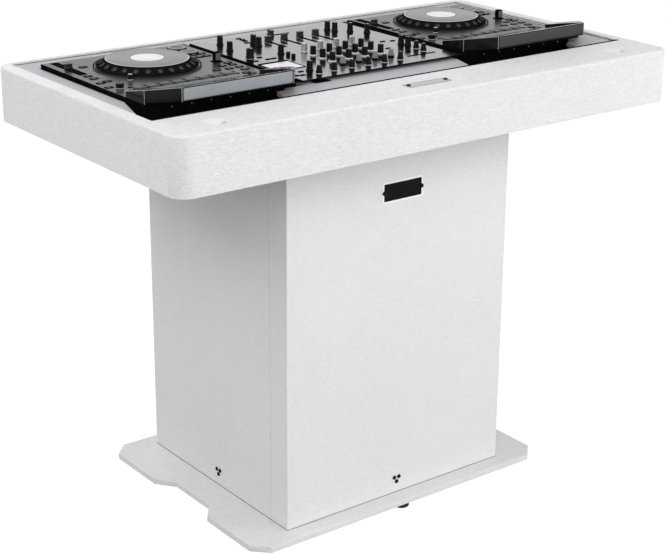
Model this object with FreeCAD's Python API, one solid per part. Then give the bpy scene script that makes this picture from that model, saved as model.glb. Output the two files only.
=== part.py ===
import FreeCAD, Part
import math
import os

# Stand-up booth for two media players and a mixer: a flat base on rubber feet, a panelled
# column with a pull-off front cover, and a shallow tray that holds the three machines.
# Millimetres, +Z up, +X along the tray, -Y towards the audience, origin on the floor
# under the middle of the whole booth.

Vector = FreeCAD.Vector

# Feet and base plate
FOOT_HEIGHT = 11.0
FOOT_DIAMETER = 34.0
CORNER_FOOT_INSET = 62.0
MIDDLE_FOOT_INSET = 20.5
BASE_THICK = 13.0
BASE_SIDE_LEDGE = 97.0
BASE_END_LEDGE = 37.5
BASE_CHAMFER = 33.0
NOTCH_DEPTH = 30.0
NOTCH_MOUTH = 207.0
NOTCH_FLOOR = 129.0

# Column
COLUMN_WIDTH = 569.0
COLUMN_DEPTH = 506.0
COLUMN_HEIGHT = 797.0
COLUMN_SETBACK = 55.0
PANEL = 12.0
TOP_PLATE = 12.0
POST = 30.0
POST_WALL = 3.0
BRACKET_LENGTH = 120.0
BRACKET_LEG = 60.0
BRACKET_FOOT = 40.0
BRACKET_THICK = 4.0
CABLE_PORT_DIAMETER = 90.0

# Front cover
COVER_RETURN = 58.0
COVER_FIT = 0.4
SEAM = 1.0
PEG_DIAMETER = 8.0
PEG_FIT = 0.05
PEG_IN_COVER = 8.0
PEG_REACH = 20.0
PEG_SPREAD = 400.0
BADGE_WIDTH = 104.0
BADGE_HEIGHT = 44.0
BADGE_THICK = 1.5
BADGE_BELOW_TRAY = 123.0
BADGE_SCREW_SPREAD = 96.0

# Black button-head screws, in threes at the foot of each panel
SCREW_HEAD_DIAMETER = 9.0
SCREW_HEAD_HEIGHT = 2.4
SCREW_SHANK_DIAMETER = 4.0
SCREW_FIT = 0.1
SCREW_BITE = 8.0
CLUSTER_SPREAD = 12.0
CLUSTER_DROP = 10.0
CLUSTER_HEIGHT = 35.0

# Tray
TRAY_HEIGHT = 111.0
TRAY_CORNER = 33.0
TRAY_EDGE_ROUND = 5.0
SIDE_RIM = 26.0
BACK_RIM = 15.0
FRONT_RIM = 123.0
FRONT_WALL = 15.0
TRAY_FLOOR = 10.0
TRAY_BOLT_DIAMETER = 8.0
TRAY_BOLT_HEAD = 13.0
TRAY_BOLT_HEAD_HEIGHT = 5.3
HEX_SIDES = 6
TRAY_BOLT_INSET = 90.0
TRAY_BOLT_RAIL_GAP = 11.0
CAP_DIAMETER = 35.0
CAP_THICK = 3.0
CAP_PROUD = 0.6
CAP_FIT = 0.2
CAP_FROM_SIDE = 114.0
CAP_SCREW_X = 6.0
CAP_SCREW_Y = -24.0
RIM_BADGE_WIDTH = 106.0
RIM_BADGE_DEPTH = 26.0
RIM_BADGE_THICK = 1.2
RIM_BADGE_X = -9.5
RIM_BADGE_SCREW_SPREAD = 92.0

# Fascia round the machines
FASCIA_DROP = 4.0
FASCIA_THICK = 8.0
FASCIA_SIDE = 39.5
FASCIA_FIT = 0.5
FASCIA_FRONT_GAP = 4.0
FASCIA_CORNER_CUT = 30.0
DJ_STRIP = 54.0
CABLE_BAY = 87.0
MACHINE_FIT = 3.5
BAY_LEFT_START = 328.0
BAY_LEFT_LEAN = 0.31
BAY_RIGHT_STEP_DEPTH = 22.0
BAY_RIGHT_OUTER = 131.0
BAY_RIGHT_INNER = 105.0
BAY_RIGHT_LEAN = 0.31
FINGER_SLOT_X = -157.0
FINGER_SLOT_WIDTH = 25.0
FINGER_SLOT_DEPTH = 3.5
BATTEN_WIDTH = 18.0
BATTEN_HEIGHT = 18.0

# Machines in general
MACHINE_GAP = 11.0
PLATE_PROUD = 4.0
PLATE = 3.0
CASE_WALL = 2.5
RAIL_DEPTH = 40.0
RAIL_INSET = 45.0
RAIL_END_INSET = 20.0
CONTROL_GAP = 0.4
BUTTON_FIT = 0.3
SHAFT_DIAMETER = 6.0
SHAFT_FIT = 0.05
SHAFT_BELOW = 8.0

# Media players; places are measured from the middle and from the DJ's edge, and keep
# their share of the player's width and depth
PLAYER_WIDTH = 329.0
PLAYER_DEPTH = 396.0
PLAYER_BODY = 80.5
JOG_FROM_EDGE = PLAYER_DEPTH * 130 / 396
JOG_DIAMETER = PLAYER_WIDTH * 200 / 329
JOG_SLOPE = 18.0
JOG_TOP_DIAMETER = JOG_DIAMETER - 2 * JOG_SLOPE
JOG_HEIGHT = 17.0
JOG_LIP = 3.5
JOG_SEAT = 0.5
JOG_DIMPLES = 24
JOG_DIMPLE_RADIUS = 11.0
JOG_DIMPLE_SINK = 2.0
JOG_RING_WIDTH = 5.0
JOG_RING_GAP = 2.0
JOG_RING_HEIGHT = 2.5
SPINDLE_DIAMETER = 20.0
SPINDLE_FIT = 0.05
SHOULDER_DIAMETER = 34.0
SHOULDER_FIT = 0.5
JOG_DISPLAY_DIAMETER = 66.0
JOG_DISPLAY_THICK = 3.0
JOG_DISPLAY_FIT = 0.5
TEMPO_X = -PLAYER_WIDTH * 139 / 329
TEMPO_FROM_EDGE = PLAYER_DEPTH * 66 / 396
TEMPO_TRAVEL = PLAYER_DEPTH * 100 / 396
PLAY_X = PLAYER_WIDTH * 129 / 329
PLAY_FROM_EDGE = PLAYER_DEPTH * 31 / 396
CUE_FROM_EDGE = PLAYER_DEPTH * 76 / 396
PUSH_DIAMETER = 34.0
PUSH_PROUD = 3.5
PUSH_SUNK = 7.0
PUSH_ROUND = 1.2
KEY_COUNT = 8
KEY_PITCH = PLAYER_WIDTH * 28.5 / 329
KEY_ROW_X = -5.0
KEY_WIDTH = 21.0
KEY_DEPTH = 14.0
KEY_PROUD = 2.0
KEY_SUNK = 5.0
KEY_FROM_EDGE = PLAYER_DEPTH * 275 / 396
LEVER_X = PLAYER_WIDTH * 132 / 329
LEVER_FROM_EDGE = PLAYER_DEPTH * 176 / 396
LEVER_WIDTH = 14.0
LEVER_DEPTH = 12.0
LEVER_HEIGHT = 20.0
LEVER_BELOW = 7.0
LEVER_SWING = 2.5
VINYL_KNOB_X = -PLAYER_WIDTH * 91 / 329
VINYL_KNOB_FROM_EDGE = PLAYER_DEPTH * 219 / 396
VINYL_KNOB_DIAMETER = 11.0
VINYL_KNOB_HEIGHT = 13.0
SELECTOR_X = -PLAYER_WIDTH * 139 / 329
SELECTOR_FROM_EDGE = PLAYER_DEPTH * 263 / 396
SELECTOR_DIAMETER = 16.0
SELECTOR_HEIGHT = 11.0

# Screen housing of a player; heights are above the top plate
SCREEN_REACH = 69.5
SCREEN_START = PLAYER_DEPTH - SCREEN_REACH
SCREEN_STEP = 12.0
SCREEN_CREST = 26.5
SCREEN_CREST_INSET = 2.5
SCREEN_CREST_FROM_EDGE = PLAYER_DEPTH - SCREEN_CREST_INSET
SCREEN_TOP = 37.5
SCREEN_SKIRT = 3.0
SCREEN_BACK_FOOT = 11.5
SCREEN_OVERHANG = 56.5
SCREEN_SHOULDER_X = 13.5
SCREEN_SHOULDER_Y = 23.0
SCREEN_BACK_NARROWING = 85.0
SCREEN_BACK_WIDTH = PLAYER_WIDTH - SCREEN_BACK_NARROWING
SCREEN_LIP = 10.0
SCREEN_FRAME = 33.5
SCREEN_POCKET_WIDTH = PLAYER_WIDTH - 2 * SCREEN_FRAME
SCREEN_POCKET_LOW = 3.0
SCREEN_POCKET_HIGH = 31.5
SCREEN_GLASS = 3.0
SCREEN_GLASS_FIT = 0.2
SCREEN_WALL = 2.5
SCREEN_CAVITY_START = 20.0

# Mixer
MIXER_WIDTH = 407.0
MIXER_LONGER = 3.0
MIXER_DEPTH = PLAYER_DEPTH + MIXER_LONGER
MIXER_BODY = 84.0
MIXER_STEP = 6.5
MIXER_LEDGE = 30.0
MIXER_ROW_SCALE = MIXER_DEPTH / 399
CHANNELS = 4
CHANNEL_PITCH = 41.0
CHANNEL_MIDDLE = 5.5
SOURCE_ROW = 363.0
TRIM_ROW = 333.0
EQ_ROW = 234.0
EQ_PITCH = 32.5
EQ_ROWS = 3
COLOUR_ROW = 203.0
FADER_ROW = 75.0
FADER_TRAVEL = 60.0
CROSSFADER_ROW = 28.0
CROSSFADER_TRAVEL = 45.0
FADER_CAP_WIDTH = 15.0
FADER_CAP_DEPTH = 10.0
FADER_CAP_HEIGHT = 11.5
FADER_CAP_WAIST = 1.2
FADER_STEM = 4.0
FADER_STEM_BELOW = 8.0
FADER_SLOT_FIT = 0.5
TALL_KNOB_DIAMETER = 15.0
TALL_KNOB_HEIGHT = 20.0
CONE_KNOB_DIAMETER = 14.0
CONE_KNOB_HEIGHT = 16.0
SMALL_KNOB_DIAMETER = 9.0
SMALL_KNOB_HEIGHT = 8.0
KNOB_SKIRT = 3.0
TALL_KNOB_TAPER = 0.78
CONE_KNOB_TAPER = 0.6
EFFECT_KNOB_X = -176.0
EFFECT_KNOB_ROW = 183.0
EFFECT_KNOB_DIAMETER = 18.0
MIXER_DISPLAY_WIDTH = 65.0
MIXER_DISPLAY_DEPTH = 58.0
MIXER_DISPLAY_THICK = 2.0
MIXER_DISPLAY_PROUD = 0.5
MIXER_DISPLAY_X = -163.0
MIXER_DISPLAY_ROW = 277.0

# Single mixer knobs beside the channels: (x, distance from the DJ's edge)
EFFECT_SIDE_KNOBS = [(-157, 45), (-172, 104), (-94, 75), (-98, 101), (-102, 186), (-142, 339)]
EFFECT_CONE_KNOBS = [(-139, 366), (-100, 363)]
EFFECT_SMALL_KNOBS = [(-99, 207), (-101, 228)]
MONITOR_SIDE_KNOBS = [(117, 51), (122, 71), (147, 93), (170, 123), (157, 255), (160, 274)]
MONITOR_CONE_KNOBS = [(159, 302), (156, 329)]

# Heights
BASE_TOP = FOOT_HEIGHT + BASE_THICK
COLUMN_TOP = BASE_TOP + COLUMN_HEIGHT
TRAY_TOP = COLUMN_TOP + TRAY_HEIGHT
TRAY_FLOOR_TOP = COLUMN_TOP + TRAY_FLOOR
FASCIA_TOP = TRAY_TOP - FASCIA_DROP
FASCIA_BOTTOM = FASCIA_TOP - FASCIA_THICK
PLATE_TOP = TRAY_TOP + PLATE_PROUD
PLATE_BOTTOM = PLATE_TOP - PLATE

# Plan of the whole
MACHINE_ROW = MIXER_WIDTH + 2 * (MACHINE_GAP + PLAYER_WIDTH)
WELL_WIDTH = MACHINE_ROW + 2 * FASCIA_SIDE
TRAY_WIDTH = WELL_WIDTH + 2 * SIDE_RIM
TRAY_DEPTH = BACK_RIM + DJ_STRIP + PLAYER_DEPTH + CABLE_BAY + FRONT_RIM
BASE_WIDTH = COLUMN_WIDTH + 2 * BASE_SIDE_LEDGE
BASE_DEPTH = COLUMN_DEPTH + 2 * BASE_END_LEDGE
TRAY_Y = (TRAY_DEPTH / 2 - COLUMN_SETBACK - BASE_DEPTH / 2) / 2
COLUMN_Y = TRAY_Y + COLUMN_SETBACK
COLUMN_FRONT = COLUMN_Y - COLUMN_DEPTH / 2
COLUMN_BACK = COLUMN_Y + COLUMN_DEPTH / 2
COLUMN_INNER_X = COLUMN_WIDTH / 2 - PANEL
SIDE_PANEL_FRONT = COLUMN_FRONT + COVER_RETURN + SEAM
TRAY_FRONT = TRAY_Y - TRAY_DEPTH / 2
TRAY_BACK = TRAY_Y + TRAY_DEPTH / 2
WELL_FRONT = TRAY_FRONT + FRONT_RIM
WELL_BACK = TRAY_BACK - BACK_RIM
RIM_MIDDLE = TRAY_FRONT + FRONT_RIM / 2
DJ_EDGE = WELL_BACK - DJ_STRIP
PLAYER_REAR = DJ_EDGE - PLAYER_DEPTH
PLAYER_X = MIXER_WIDTH / 2 + MACHINE_GAP + PLAYER_WIDTH / 2
MIXER_EDGE = DJ_EDGE - MIXER_STEP
MIXER_REAR = MIXER_EDGE - MIXER_DEPTH


def block(x0, x1, y0, y1, z0, z1):
    """Box between two corners."""
    return Part.makeBox(x1 - x0, y1 - y0, z1 - z0, Vector(x0, y0, z0))


def disc(x, y, z0, z1, diameter):
    """Upright round bar."""
    return Part.makeCylinder(diameter / 2, z1 - z0, Vector(x, y, z0))


def taper(x, y, z0, z1, low, high):
    """Upright cone between two diameters."""
    return Part.makeCone(low / 2, high / 2, z1 - z0, Vector(x, y, z0))


def prism(points, z0, z1):
    """Plan outline carried up from z0 to z1."""
    corners = [Vector(x, y, z0) for x, y in points]
    face = Part.Face(Part.makePolygon(corners + corners[:1]))
    return face.extrude(Vector(0, 0, z1 - z0))


def side_profile(points, x0, x1):
    """Outline in Y and Z carried along X from x0 to x1."""
    corners = [Vector(x0, y, z) for y, z in points]
    face = Part.Face(Part.makePolygon(corners + corners[:1]))
    return face.extrude(Vector(x1 - x0, 0, 0))


def screw(place, inward, length):
    """Button-head screw: the head stands on the place, the shank runs inward."""
    direction = Vector(*inward)
    spot = Vector(*place)
    head = Part.makeCylinder(SCREW_HEAD_DIAMETER / 2, SCREW_HEAD_HEIGHT, spot, direction * -1)
    head = head.makeFillet(SCREW_HEAD_HEIGHT / 2, [edge_at(head, spot - direction * SCREW_HEAD_HEIGHT)])
    shank = Part.makeCylinder(SCREW_SHANK_DIAMETER / 2, length, spot, direction)
    return head.fuse(shank).removeSplitter()


def edge_at(shape, centre):
    """The round edge whose centre is nearest to a point."""
    rounds = [e for e in shape.Edges if isinstance(e.Curve, Part.Circle)]
    return min(rounds, key=lambda e: e.Curve.Center.distanceToPoint(centre))


def screw_hole(place, inward, length):
    """Clearance hole for a screw's shank."""
    radius = SCREW_SHANK_DIAMETER / 2 + SCREW_FIT
    return Part.makeCylinder(radius, length, Vector(*place), Vector(*inward))


def cut_all(shape, tools):
    """The shape with every tool taken out of it."""
    return shape.cut(Part.makeCompound(tools))


# Base

def base_plate():
    half_x = BASE_WIDTH / 2
    front = COLUMN_Y - BASE_DEPTH / 2
    back = COLUMN_Y + BASE_DEPTH / 2
    mouth = NOTCH_MOUTH / 2
    floor = NOTCH_FLOOR / 2
    right = [
        (half_x - BASE_CHAMFER, front),
        (half_x, front + BASE_CHAMFER),
        (half_x, COLUMN_Y - mouth),
        (half_x - NOTCH_DEPTH, COLUMN_Y - floor),
        (half_x - NOTCH_DEPTH, COLUMN_Y + floor),
        (half_x, COLUMN_Y + mouth),
        (half_x, back - BASE_CHAMFER),
        (half_x - BASE_CHAMFER, back),
    ]
    left = [(-x, y) for x, y in reversed(right)]
    return prism(right + left, FOOT_HEIGHT, BASE_TOP)


def base_feet():
    corner_x = BASE_WIDTH / 2 - CORNER_FOOT_INSET
    corner_y = BASE_DEPTH / 2 - CORNER_FOOT_INSET
    middle_y = BASE_DEPTH / 2 - MIDDLE_FOOT_INSET
    places = [(sx * corner_x, sy * corner_y) for sx in (-1, 1) for sy in (-1, 1)]
    places += [(0, -middle_y), (0, middle_y)]
    return Part.makeCompound([disc(x, COLUMN_Y + y, 0, FOOT_HEIGHT, FOOT_DIAMETER) for x, y in places])


# Column

def cluster(height):
    """Places across and up of the three screws at the foot of a panel."""
    half = CLUSTER_SPREAD / 2
    return [(-half, height), (half, height), (0, height - CLUSTER_DROP)]


PANEL_SCREW_LENGTH = PANEL + BRACKET_THICK
CLUSTER_Z = BASE_TOP + CLUSTER_HEIGHT


def side_screw_places(side):
    """Outer ends and inward direction of a side panel's screws."""
    return [((side * COLUMN_WIDTH / 2, COLUMN_Y + u, z), (-side, 0, 0)) for u, z in cluster(CLUSTER_Z)]


def rear_screw_places():
    return [((u, COLUMN_BACK, z), (0, -1, 0)) for u, z in cluster(CLUSTER_Z)]


def front_screw_places():
    return [((u, COLUMN_FRONT, z), (0, 1, 0)) for u, z in cluster(CLUSTER_Z)]


def holes_for(places, length):
    return [screw_hole(place, inward, length) for place, inward in places]


def column_side_panel(side):
    inner = COLUMN_INNER_X
    outer = COLUMN_WIDTH / 2
    x0, x1 = sorted((side * inner, side * outer))
    panel = block(x0, x1, SIDE_PANEL_FRONT, COLUMN_BACK, BASE_TOP, COLUMN_TOP)
    return cut_all(panel, holes_for(side_screw_places(side), PANEL_SCREW_LENGTH))


def column_rear_panel():
    panel = block(-COLUMN_INNER_X, COLUMN_INNER_X, COLUMN_BACK - PANEL, COLUMN_BACK, BASE_TOP, COLUMN_TOP)
    return cut_all(panel, holes_for(rear_screw_places(), PANEL_SCREW_LENGTH))


def column_posts():
    """Square tubes: the front pair straddles the seam, the rear pair stands in the corners."""
    seam_y = COLUMN_FRONT + COVER_RETURN + SEAM / 2
    top = COLUMN_TOP - TOP_PLATE
    posts = []
    for y0 in (seam_y - POST / 2, COLUMN_BACK - PANEL - POST):
        for side in (-1, 1):
            x0 = side * (COLUMN_INNER_X - POST / 2) - POST / 2
            outside = block(x0, x0 + POST, y0, y0 + POST, BASE_TOP, top)
            wall = POST_WALL
            bore = block(x0 + wall, x0 + POST - wall, y0 + wall, y0 + POST - wall, BASE_TOP, top)
            posts.append(outside.cut(bore))
    return Part.makeCompound(posts)


def angle_bracket(places):
    """Steel angle standing on the base, its upright leg behind the given screws."""
    face = COLUMN_FRONT + PANEL + COVER_FIT
    half = BRACKET_LENGTH / 2
    leg = block(-half, half, face, face + BRACKET_THICK, BASE_TOP, BASE_TOP + BRACKET_LEG)
    foot = block(-half, half, face, face + BRACKET_FOOT, BASE_TOP, BASE_TOP + BRACKET_THICK)
    bracket = leg.fuse(foot).removeSplitter()
    return cut_all(bracket, holes_for(places, PANEL + COVER_FIT + BRACKET_THICK))


def base_brackets():
    front = angle_bracket(front_screw_places())
    brackets = [front]
    middle = Vector(0, COLUMN_Y, 0)
    turned = front.copy()
    turned.translate(Vector(0, -COVER_FIT, 0))
    for angle, reach in ((90, COLUMN_WIDTH / 2), (180, COLUMN_DEPTH / 2), (270, COLUMN_WIDTH / 2)):
        bracket = turned.copy()
        bracket.translate(Vector(0, COLUMN_DEPTH / 2 - reach, 0))
        bracket.rotate(middle, Vector(0, 0, 1), angle)
        brackets.append(bracket)
    return Part.makeCompound(brackets)


def panel_screws():
    places = side_screw_places(-1) + side_screw_places(1) + rear_screw_places()
    return Part.makeCompound([screw(place, inward, PANEL_SCREW_LENGTH) for place, inward in places])


def peg_axes():
    return [(side * PEG_SPREAD / 2, COLUMN_TOP - TOP_PLATE / 2) for side in (-1, 1)]


def bolt_places():
    reach_x = MIXER_WIDTH / 2 - RAIL_END_INSET + TRAY_BOLT_RAIL_GAP
    reach_y = COLUMN_DEPTH / 2 - TRAY_BOLT_INSET
    return [(sx * reach_x, COLUMN_Y + sy * reach_y) for sx in (-1, 1) for sy in (-1, 1)]


def port_and_bolt_holes(z0, z1):
    """Cable port and bolt holes through the tray floor and the column's top plate."""
    hole = TRAY_BOLT_DIAMETER + 2 * SCREW_FIT
    tools = [disc(x, y, z0, z1, hole) for x, y in bolt_places()]
    tools.append(disc(0, COLUMN_Y, z0, z1, CABLE_PORT_DIAMETER))
    return tools


def column_top_plate():
    front = COLUMN_FRONT + PANEL + COVER_FIT
    z0 = COLUMN_TOP - TOP_PLATE
    plate = block(-COLUMN_INNER_X, COLUMN_INNER_X, front, COLUMN_BACK - PANEL, z0, COLUMN_TOP)
    radius = PEG_DIAMETER / 2 + PEG_FIT
    inward = Vector(0, 1, 0)
    sockets = [Part.makeCylinder(radius, PEG_REACH, Vector(x, front, z), inward) for x, z in peg_axes()]
    return cut_all(plate, sockets + port_and_bolt_holes(z0, COLUMN_TOP))


# Front cover

def badge_screw_places(face):
    z = COLUMN_TOP - BADGE_BELOW_TRAY
    return [((side * BADGE_SCREW_SPREAD / 2, face, z), (0, 1, 0)) for side in (-1, 1)]


def column_front_cover():
    z0 = BASE_TOP + COVER_FIT
    z1 = COLUMN_TOP - COVER_FIT
    half = COLUMN_WIDTH / 2
    inner = COLUMN_INNER_X + COVER_FIT
    board = block(-half, half, COLUMN_FRONT, COLUMN_FRONT + PANEL, z0, z1)
    left = block(-half, -inner, COLUMN_FRONT, COLUMN_FRONT + COVER_RETURN, z0, z1)
    right = block(inner, half, COLUMN_FRONT, COLUMN_FRONT + COVER_RETURN, z0, z1)
    cover = board.fuse([left, right]).removeSplitter()
    socket_y = COLUMN_FRONT + PANEL - PEG_IN_COVER
    sockets = [
        Part.makeCylinder(PEG_DIAMETER / 2, PEG_IN_COVER, Vector(x, socket_y, z), Vector(0, 1, 0))
        for x, z in peg_axes()
    ]
    tools = sockets + holes_for(front_screw_places(), PANEL)
    tools += holes_for(badge_screw_places(COLUMN_FRONT), SCREW_BITE)
    return cut_all(cover, tools)


def cover_pegs():
    start = COLUMN_FRONT + PANEL - PEG_IN_COVER
    length = PEG_IN_COVER + PEG_REACH
    radius = PEG_DIAMETER / 2
    inward = Vector(0, 1, 0)
    pegs = [Part.makeCylinder(radius, length, Vector(x, start, z), inward) for x, z in peg_axes()]
    return Part.makeCompound(pegs)


def cover_screws():
    length = PANEL + COVER_FIT + BRACKET_THICK
    screws = [screw(place, inward, length) for place, inward in front_screw_places()]
    badge_face = COLUMN_FRONT - BADGE_THICK
    length = BADGE_THICK + SCREW_BITE
    screws += [screw(place, inward, length) for place, inward in badge_screw_places(badge_face)]
    return Part.makeCompound(screws)


def front_badge():
    z = COLUMN_TOP - BADGE_BELOW_TRAY
    face = COLUMN_FRONT - BADGE_THICK
    half_w = BADGE_WIDTH / 2
    half_h = BADGE_HEIGHT / 2
    plate = block(-half_w, half_w, face, COLUMN_FRONT, z - half_h, z + half_h)
    return cut_all(plate, holes_for(badge_screw_places(face), BADGE_THICK))


# Tray

def cap_places():
    reach = TRAY_WIDTH / 2 - CAP_FROM_SIDE
    return [(-reach, RIM_MIDDLE), (reach, RIM_MIDDLE)]


def rim_screw_places():
    """Two screws hold the rim badge and one stands beside each cap."""
    reach = RIM_BADGE_SCREW_SPREAD / 2
    across = (RIM_BADGE_X - reach, RIM_BADGE_X + reach)
    badge = [(x, RIM_MIDDLE, TRAY_TOP + RIM_BADGE_THICK) for x in across]
    caps = [(x + CAP_SCREW_X, y + CAP_SCREW_Y, TRAY_TOP) for x, y in cap_places()]
    return [(place, (0, 0, -1)) for place in badge + caps]


def tray_shell():
    half = TRAY_WIDTH / 2
    outer = block(-half, half, TRAY_FRONT, TRAY_BACK, COLUMN_TOP, TRAY_TOP)
    uprights = [e for e in outer.Edges if abs(e.Vertexes[0].Z - e.Vertexes[1].Z) > TRAY_HEIGHT / 2]
    outer = outer.makeFillet(TRAY_CORNER, uprights)
    top_edges = [e for e in outer.Edges if e.BoundBox.ZMin > TRAY_TOP - TRAY_EDGE_ROUND / 2]
    outer = outer.makeFillet(TRAY_EDGE_ROUND, top_edges)
    well = WELL_WIDTH / 2
    hollow = block(-well, well, TRAY_FRONT + FRONT_WALL, WELL_BACK, COLUMN_TOP, FASCIA_BOTTOM)
    opening = block(-well, well, WELL_FRONT, WELL_BACK, FASCIA_BOTTOM, TRAY_TOP)
    seat_z = TRAY_TOP + CAP_PROUD - CAP_THICK
    seat_width = CAP_DIAMETER + 2 * CAP_FIT
    seats = [disc(x, y, seat_z, TRAY_TOP, seat_width) for x, y in cap_places()]
    tools = [hollow, opening] + seats + holes_for(rim_screw_places(), SCREW_BITE)
    return cut_all(outer, tools)


def tray_floor():
    well = WELL_WIDTH / 2
    floor = block(-well, well, TRAY_FRONT + FRONT_WALL, WELL_BACK, COLUMN_TOP, TRAY_FLOOR_TOP)
    return cut_all(floor, port_and_bolt_holes(COLUMN_TOP, TRAY_FLOOR_TOP))


def tray_bolts():
    bolts = []
    for x, y in bolt_places():
        shank = disc(x, y, COLUMN_TOP - TOP_PLATE, TRAY_FLOOR_TOP, TRAY_BOLT_DIAMETER)
        corners = [2 * math.pi * i / HEX_SIDES for i in range(HEX_SIDES)]
        radius = TRAY_BOLT_HEAD / 2 / math.cos(math.pi / HEX_SIDES)
        outline = [(x + radius * math.cos(a), y + radius * math.sin(a)) for a in corners]
        head = prism(outline, TRAY_FLOOR_TOP, TRAY_FLOOR_TOP + TRAY_BOLT_HEAD_HEIGHT)
        bolts.append(head.fuse(shank).removeSplitter())
    return Part.makeCompound(bolts)


def rim_caps():
    z1 = TRAY_TOP + CAP_PROUD
    return Part.makeCompound([disc(x, y, z1 - CAP_THICK, z1, CAP_DIAMETER) for x, y in cap_places()])


def rim_badge():
    x0 = RIM_BADGE_X - RIM_BADGE_WIDTH / 2
    x1 = RIM_BADGE_X + RIM_BADGE_WIDTH / 2
    half_y = RIM_BADGE_DEPTH / 2
    z1 = TRAY_TOP + RIM_BADGE_THICK
    plate = block(x0, x1, RIM_MIDDLE - half_y, RIM_MIDDLE + half_y, TRAY_TOP, z1)
    return cut_all(plate, holes_for(rim_screw_places()[:2], RIM_BADGE_THICK))


def rim_screws():
    return Part.makeCompound([screw(place, inward, SCREW_BITE) for place, inward in rim_screw_places()])


# Fascia

FASCIA_OUTER_X = WELL_WIDTH / 2 - FASCIA_FIT
FASCIA_FRONT = WELL_FRONT + FASCIA_FRONT_GAP
FASCIA_BACK = WELL_BACK - FASCIA_FIT
BAY_TOP = PLAYER_REAR - MACHINE_FIT
BAY_STEP = BAY_TOP - BAY_RIGHT_STEP_DEPTH


def bay_left_x(middle, y):
    """Left edge of the cable bay behind a player, leaning outward towards the audience."""
    start = middle - PLAYER_WIDTH / 2 - MACHINE_FIT
    return start - BAY_LEFT_LEAN * (DJ_EDGE - BAY_LEFT_START - y)


def bay_right_front_x(middle):
    """Right end of the cable bay at the front rim."""
    return middle + BAY_RIGHT_INNER - BAY_RIGHT_LEAN * (BAY_STEP - FASCIA_FRONT)


def fascia_frame():
    outer = block(-FASCIA_OUTER_X, FASCIA_OUTER_X, FASCIA_FRONT, FASCIA_BACK, FASCIA_BOTTOM, FASCIA_TOP)
    row = MACHINE_ROW / 2 + MACHINE_FIT
    lean_end = DJ_EDGE - BAY_LEFT_START - (FASCIA_SIDE - MACHINE_FIT) / BAY_LEFT_LEAN
    opening = [
        (-row, DJ_EDGE + MACHINE_FIT),
        (row, DJ_EDGE + MACHINE_FIT),
        (row, BAY_TOP),
        (PLAYER_X + BAY_RIGHT_OUTER, BAY_TOP),
        (PLAYER_X + BAY_RIGHT_OUTER, BAY_STEP),
        (PLAYER_X + BAY_RIGHT_INNER, BAY_STEP),
        (bay_right_front_x(PLAYER_X), FASCIA_FRONT),
        (bay_right_front_x(PLAYER_X), FASCIA_FRONT - FASCIA_FRONT_GAP),
        (-WELL_WIDTH / 2, FASCIA_FRONT - FASCIA_FRONT_GAP),
        (-WELL_WIDTH / 2, lean_end),
        (-row, DJ_EDGE - BAY_LEFT_START),
    ]
    corner = [
        (WELL_WIDTH / 2, WELL_FRONT),
        (WELL_WIDTH / 2, FASCIA_FRONT + FASCIA_CORNER_CUT),
        (FASCIA_OUTER_X - FASCIA_CORNER_CUT, WELL_FRONT),
    ]
    tools = [prism(outline, FASCIA_BOTTOM, FASCIA_TOP) for outline in (opening, corner)]
    return cut_all(outer, tools)


def fascia_tongue():
    """Plate behind the mixer, with a tab that runs in under the mixer's overhanging plate."""
    back = MIXER_REAR - MACHINE_FIT
    under = back + MIXER_LEDGE
    tab_left = MACHINE_FIT - MIXER_WIDTH / 2
    outline = [
        (-PLAYER_X + BAY_RIGHT_OUTER, back),
        (bay_left_x(PLAYER_X, back), back),
        (bay_left_x(PLAYER_X, FASCIA_FRONT), FASCIA_FRONT),
        (bay_right_front_x(-PLAYER_X), FASCIA_FRONT),
        (-PLAYER_X + BAY_RIGHT_INNER, BAY_STEP),
        (-PLAYER_X + BAY_RIGHT_OUTER, BAY_STEP),
    ]
    tongue = prism(outline, FASCIA_BOTTOM, FASCIA_TOP)
    tab = block(tab_left, bay_left_x(PLAYER_X, back), back, under, FASCIA_BOTTOM, FASCIA_TOP)
    tongue = tongue.fuse(tab).removeSplitter()
    x0 = FINGER_SLOT_X - FINGER_SLOT_WIDTH / 2
    x1 = FINGER_SLOT_X + FINGER_SLOT_WIDTH / 2
    slot = block(x0, x1, back - FINGER_SLOT_DEPTH, under, FASCIA_BOTTOM, FASCIA_TOP)
    return tongue.cut(slot)


def fascia_battens():
    """Side and rear battens on the walls, and two under the front rim that reach into the well."""
    z0 = FASCIA_BOTTOM - BATTEN_HEIGHT
    well = WELL_WIDTH / 2
    inner = well - BATTEN_WIDTH
    front = WELL_FRONT - BATTEN_WIDTH
    reach = WELL_FRONT + BATTEN_WIDTH
    rear = WELL_BACK - BATTEN_WIDTH
    left_start = DJ_EDGE - BAY_LEFT_START
    tongue_left = bay_right_front_x(-PLAYER_X)
    tongue_right = bay_left_x(PLAYER_X, FASCIA_FRONT)
    battens = [
        block(-well, -inner, left_start, rear, z0, FASCIA_BOTTOM),
        block(inner, well, reach, rear, z0, FASCIA_BOTTOM),
        block(-well, well, rear, WELL_BACK, z0, FASCIA_BOTTOM),
        block(tongue_left, tongue_right, front, reach, z0, FASCIA_BOTTOM),
        block(bay_right_front_x(PLAYER_X), well, front, reach, z0, FASCIA_BOTTOM),
    ]
    return Part.makeCompound(battens)


# Machines

def machine_case(middle, width, edge, depth, body):
    """Open-topped sheet case that the top panel closes."""
    z0 = PLATE_TOP - body
    rear = edge - depth
    half = width / 2
    outside = block(middle - half, middle + half, rear, edge, z0, PLATE_BOTTOM)
    wall = CASE_WALL
    inner = half - wall
    inside = block(middle - inner, middle + inner, rear + wall, edge - wall, z0 + wall, PLATE_BOTTOM)
    return outside.cut(inside)


def machine_plate(middle, width, edge, depth):
    half = width / 2
    return block(middle - half, middle + half, edge - depth, edge, PLATE_BOTTOM, PLATE_TOP)


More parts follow.
